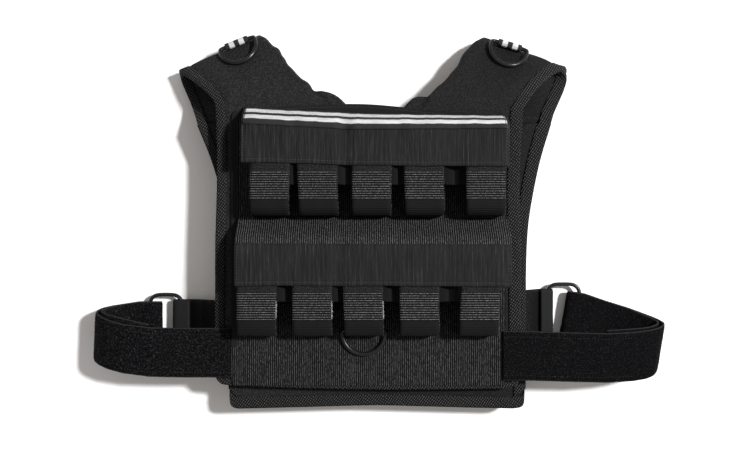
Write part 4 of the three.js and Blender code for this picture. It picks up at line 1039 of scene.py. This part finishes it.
# The reflective tape on the upper flap: a black ribbon with two white stripes, sewn along the
# slope above the seam, a little scuffed, with plain black ribbon below the stripes.
def stripe(look, value, low, high, soft):
    """1 between low and high of a running value, with soft edges."""
    rise = look.calc("DIVIDE", look.calc("SUBTRACT", value, low), soft, clamp=True)
    fall = look.calc("DIVIDE", look.calc("SUBTRACT", high, value), soft, clamp=True)
    return look.times(rise, fall)


def striped_ribbon(name, stripes, soft, breaks=()):
    """Black ribbon with two white stripes along the UV map's u, broken by thin dark lines of v."""
    look = Cloth(name, (0.008, 0.008, 0.0085), (0.028, 0.028, 0.03), lint=0.2)
    u, v, _ = look.split("UV")
    wander = look.times(look.calc("SUBTRACT", look.noise(60, 3, (1, 0, 0)), 0.5), soft * 5)
    value = look.plus(u, wander)
    mask = look.plus(*(stripe(look, value, low, high, soft) for low, high in stripes))
    for line, width in breaks:
        away = look.calc("ABSOLUTE", look.calc("SUBTRACT", v, line))
        mask = look.times(mask, look.calc("GREATER_THAN", away, width))
    scuff = look.noise(300, 4, (0.25, 1, 1))
    white = look.mix(scuff, (0.28, 0.28, 0.285, 1), (0.7, 0.7, 0.705, 1))
    look.paint(look.mix(mask, look.worn, white))
    look.bump(look.noise(1500, 2), 0.0003)
    return look


FLAP_STRIPES = ((0.09, 0.33), (0.455, 0.71))
FLAP_TAPE_SEAMS = ((-0.1216, 0.0004), (0.134, 0.0004))
reflective = striped_ribbon("striped_reflective_tape", FLAP_STRIPES, 0.03, FLAP_TAPE_SEAMS)

FLAP_TAPE_THICKNESS = 1.0
TAPE_INSET = (2, 3)
spots = flap_grids["upper"][TAPE_INSET[0] : -TAPE_INSET[1], 3:STRIP_ROWS].copy()
spots += grid_normals(spots) * (FLAP_THICKNESS + FLAP_TAPE_THICKNESS) / 2
waves = 0.35 * ripple(spots.reshape(-1, 3) * np.array((1, 0.3, 0.3)), 20, 61)
spots[:, :, 2] += waves.reshape(spots.shape[:2])
top = spots[:, 0:1, 1]
run = (top - spots[:, :, 1]) / (top - spots[:, -1:, 1])
tape_cloth = cloth_grid("flap_stripe_tape", spots, FLAP_TAPE_THICKNESS, run, spots[:, :, 0] / 1000)
finish_piece(tape_cloth, reflective, "vest", "reflective_tape", "flap_tape")
hops = np.linalg.norm(np.diff(spots, axis=1), axis=2).sum(axis=1).mean() / 1000

# The rings: bent steel wire with a glossy black coat. The D-rings swing on their straight bars.
coated_steel = Look("black_coated_steel", {"Specular IOR Level": 0.32})
steel_grain = coated_steel.noise(350, 3)
coated_steel.paint(coated_steel.mix(steel_grain, (0.004, 0.004, 0.0045, 1), (0.012, 0.012, 0.013, 1)))
coated_steel.roughen(steel_grain, 0.12, 0.2)
coated_steel.bump(steel_grain, 0.00008)

RING_BODIES = {
    "shoulder_ring_left": "shoulder_ring_left",
    "shoulder_ring_right": "shoulder_ring_right",
    "chest_ring": "chest_ring",
    "belt_ring_left": "vest",
    "belt_ring_right": "vest",
}
WIRE_ROUNDING_LOSS = 0.17
for node, body in RING_BODIES.items():
    ring = soft_skin(node, f"steel_{node}", 2)
    corners = corners_of(ring)
    set_corners(ring, corners + normals_of(ring) * WIRE_ROUNDING_LOSS)
    finish_piece(ring, coated_steel, body, "black_metal", node)

# The ring tapes: short lengths of the same striped ribbon, folded round each shoulder ring's bar
# and sewn down behind it.
RING_STRIPES = ((-0.0082, -0.0024), (0.0024, 0.0082))
RING_TAPE_EASE = 0.2
ring_striped = striped_ribbon("striped_ring_tape", RING_STRIPES, 0.0004)
for joint in frame["joints"]:
    side = joint["child"].removeprefix("shoulder_ring_")
    if side not in ("left", "right"):
        continue
    tape = soft_skin(f"ring_tape_{side}", f"ring_ribbon_{side}", 3, 0.9)
    set_corners(tape, corners_of(tape) - normals_of(tape) * RING_TAPE_EASE)
    corners = vertex_rows(tape, "co")
    side_run = (corners - np.array(joint["pos_m"])) @ np.array(joint["axis"])
    lay_flat(tape.data, side_run, corners[:, 1])
    finish_piece(tape, ring_striped, "vest", "reflective_tape", f"ring_tape_{side}")

# The belts: wide fuzzy fastening tape, sewn to the front and looped through the oval rings. The
# tabs are smooth nylon straps from the back panel to the same rings.
pile = Cloth("black_fuzzy_tape", (0.0008, 0.0008, 0.0011), (0.0026, 0.0027, 0.0032), lint=0, specular=0.02)
PILE_RIM = 0.0238
# Painted shade: the pile's tufts are painted dimmer towards the right.
pile_painted_shade = pile.plus(pile.times(pile.split("Object")[0], -1.3), 0.66, clamp=True)
pile_tuft = pile.times(pile.lift(pile.noise(620, 5), 7, 4), pile_painted_shade)
pile_rim = pile.calc("GREATER_THAN", pile.calc("ABSOLUTE", pile.split("UV")[1]), PILE_RIM)
pile_base = pile.mix(pile_rim, pile.worn, (0.018, 0.018, 0.019, 1))
pile.paint(pile.mix(pile_tuft, pile_base, (0.1, 0.101, 0.106, 1)))
pile.bump(pile_tuft, 0.0012)

BELT_WIDTH = 49.5
BELT_THICKNESS = 3
TAB_WIDTH = 46
TAB_THICKNESS = 2.5
# Each point: x, y, z in millimetres and how far the top edge leans out of the upright.
BELT_PATHS = {
    "left": [
        (-137.8, -101.5, 55.1, 0), (-158, -101.5, 55.3, 0), (-186, -101.5, 55.3, 0), (-218, -101, 54.5, 0),
        (-246, -98, 51.5, 0), (-262, -94.5, 46.5, 0.02), (-273, -91, 40, 0.03), (-279.5, -88, 32, 0.04),
        (-280.5, -86, 24.5, 0.04), (-276.5, -84, 17.5, 0.03), (-267, -82, 12, 0), (-253, -80, 8.5, 0),
        (-240, -78, 6.8, 0), (-225, -78, 6.2, 0), (-218.6, -78, 6.2, 0), (-216.4, -78, 7.9, 0),
        (-215.9, -78, 10, 0), (-216.4, -78, 12.1, 0), (-218.6, -78, 13.8, 0), (-231, -78, 12.6, 0),
        (-240, -78.5, 11.2, 0), (-253, -80, 12.4, 0), (-263.5, -82, 16, 0), (-271, -84, 20.4, 0),
        (-274.6, -85.5, 26, 0), (-273.6, -86.5, 31.5, 0), (-268, -88.5, 37.2, 0), (-258, -90.5, 42.6, 0),
        (-245, -93, 47, 0), (-232, -96, 49.4, 0), (-222, -98, 50.4, 0),
    ],
    "right": [
        (134.5, -104.4, 56.8, 0), (160, -104.4, 56.6, 0), (195, -105.6, 56, 0), (240, -107, 54, 0),
        (266, -106, 50.5, 0.03), (282, -104.5, 46, 0.07), (292.5, -102.5, 39.5, 0.13),
        (299, -100, 31.5, 0.17),
        (300.2, -98, 24.5, 0.18), (296.5, -95, 17.5, 0.16), (287, -91, 12, 0.14), (268, -84, 8.2, 0.15),
        (245, -77, 6.7, 0.16), (222, -69, 6.2, 0.17), (207.2, -67, 6.2, 0.17), (205, -67, 7.9, 0.17),
        (204.5, -67, 10, 0.17), (205, -67, 12.1, 0.17), (207.2, -67, 13.8, 0.17), (222, -69.3, 12.8, 0.17),
        (234, -73.3, 11.4, 0.17), (246, -77.3, 11, 0.16), (267, -84, 12.6, 0.15), (282.5, -90.5, 16.2, 0.14),
        (291.4, -94.5, 20.8, 0.16), (294.8, -97, 26, 0.17), (292.6, -99, 32.3, 0.16),
        (286.2, -101, 38, 0.12),
        (276.4, -102.4, 42.5, 0.07), (262, -103.2, 46.6, 0.03), (248, -103.8, 49.2, 0), (240, -104.2, 50, 0),
    ],
}
TAB_PATHS = {
    "left": [
        (-126.1, -74, 29.25, 0), (-143, -74, 29.25, 0), (-150, -74, 26.9, 0), (-159, -74, 22, 0),
        (-168, -74, 14.5, 0), (-178, -74, 8.6, 0), (-188, -74, 6.4, 0), (-201, -74, 6.4, 0),
        (-203.2, -74, 8, 0), (-203.7, -74, 10, 0), (-203.2, -74, 12, 0), (-201, -74, 13.6, 0),
        (-193, -74, 13.6, 0), (-186, -74, 13.9, 0),
    ],
    "right": [
        (143.9, -63, 29.25, 0), (160, -63, 29.25, 0), (166, -63, 26, 0), (171.5, -63, 18.5, 0),
        (176.5, -63, 11, 0), (181.5, -63, 6.7, 0), (190, -63, 6.4, 0), (192, -63, 8, 0), (192.5, -63, 10, 0),
        (192, -63, 12, 0), (190, -63, 13.6, 0), (184, -63, 13.8, 0), (179.5, -63, 15.2, 0),
    ],
}

# The tab's end, folded back through the ring, is smooth nylon. The rest of it is dark loop tape.
tab_cloth = Cloth("black_tab_tape", (0.0065, 0.0065, 0.0068), (0.014, 0.014, 0.0148), lint=0.3, specular=0.1)
TAB_SMOOTH_FROM = 0.052
tab_smooth = tab_cloth.calc("GREATER_THAN", tab_cloth.split("UV")[0], TAB_SMOOTH_FROM)
tab_speck = tab_cloth.lift(tab_cloth.noise(700, 4), 7, 3)
tab_pile = tab_cloth.mix(tab_speck, (0.002, 0.002, 0.0022, 1), (0.06, 0.06, 0.062, 1))
tab_cloth.paint(tab_cloth.mix(tab_smooth, tab_pile, tab_cloth.worn))

# The fibres of the belts' pile, in metres.
FIBRE_COUNT = 26000
FIBRE_LENGTH = 0.001
FIBRE_SCATTER = 0.0006
FIBRE_HALF_WIDTH = 0.00009


def pile_fibres(name, strap, seed):
    """Short fibres standing on a strap: thin triangles scattered over its faces."""
    draw = np.random.default_rng(seed)
    faces = strap.data.polygons
    areas = np.array([face.area for face in faces])
    picks = draw.choice(len(faces), size=FIBRE_COUNT, p=areas / areas.sum())
    centres = np.array([face.center for face in faces])[picks]
    outward = np.array([face.normal for face in faces])[picks]
    jitter = draw.normal(size=(FIBRE_COUNT, 3)) * FIBRE_SCATTER
    roots = centres + jitter - outward * np.sum(jitter * outward, axis=1)[:, None]
    lean = outward + draw.normal(size=(FIBRE_COUNT, 3)) * 0.7
    lean /= np.linalg.norm(lean, axis=1)[:, None]
    side = np.cross(lean, draw.normal(size=(FIBRE_COUNT, 3)))
    side /= np.linalg.norm(side, axis=1)[:, None]
    tips = roots + lean * (FIBRE_LENGTH * draw.uniform(0.5, 1.2, size=(FIBRE_COUNT, 1)))
    return slivers(name, roots - side * FIBRE_HALF_WIDTH, roots + side * FIBRE_HALF_WIDTH, tips)


def strap_along(name, table, width, thickness, columns, wobble, seed):
    """A strap along a table of belt or tab points, its width upright but for its lean."""
    route = np.array(table)
    return ribbon(
        name, route[:, :3], (0, 1, 0), width, thickness, columns, wobble=wobble, seed=seed, leans=route[:, 3]
    )


BELT_STITCHES = {"top": BELT_WIDTH / 2 - 6, "bottom": -BELT_WIDTH / 2 + 5}
SEWN_POINTS = 5
for side in ("left", "right"):
    ring = f"steel_belt_ring_{side}"
    belt, reach = strap_along(
        f"fuzzy_belt_{side}", BELT_PATHS[side], BELT_WIDTH, BELT_THICKNESS, 24, wobble=0.3, seed=71
    )
    finish_piece(belt, pile, "vest", "hook_and_loop", f"belt_{side}")
    finish_piece(pile_fibres(f"belt_pile_{side}", belt, 72), pile, "vest", "hook_and_loop")
    tab, reach = strap_along(
        f"nylon_tab_{side}", TAB_PATHS[side], TAB_WIDTH, TAB_THICKNESS, 20, wobble=0.2, seed=73
    )
    finish_piece(tab, tab_cloth, "vest", "nylon", f"belt_tab_{side}")
    for edge, height in BELT_STITCHES.items():
        line = [(x, y + height) for x, y, _, _ in BELT_PATHS[side][:SEWN_POINTS]]
        stitch_row(f"belt_{edge}_stitches_{side}", belt, line, "hook_and_loop", -0.1)

# The pocket rows behind the back: smooth nylon pockets, each swollen by the bars inside.
for row in BAR_CENTRES:
    pockets = soft_skin(f"back_pocket_row_{row}", f"back_pockets_{row}", 4)
    corners = corners_of(pockets)
    facing = normals_of(pockets)
    lift = 0.4 * ripple(corners, 30, 81)
    corners += facing * (lift * (corners[:, 2] > 2))[:, None]
    set_corners(pockets, corners)
    finish_piece(pockets, nylon, "vest", "nylon", f"back_pocket_row_{row}")
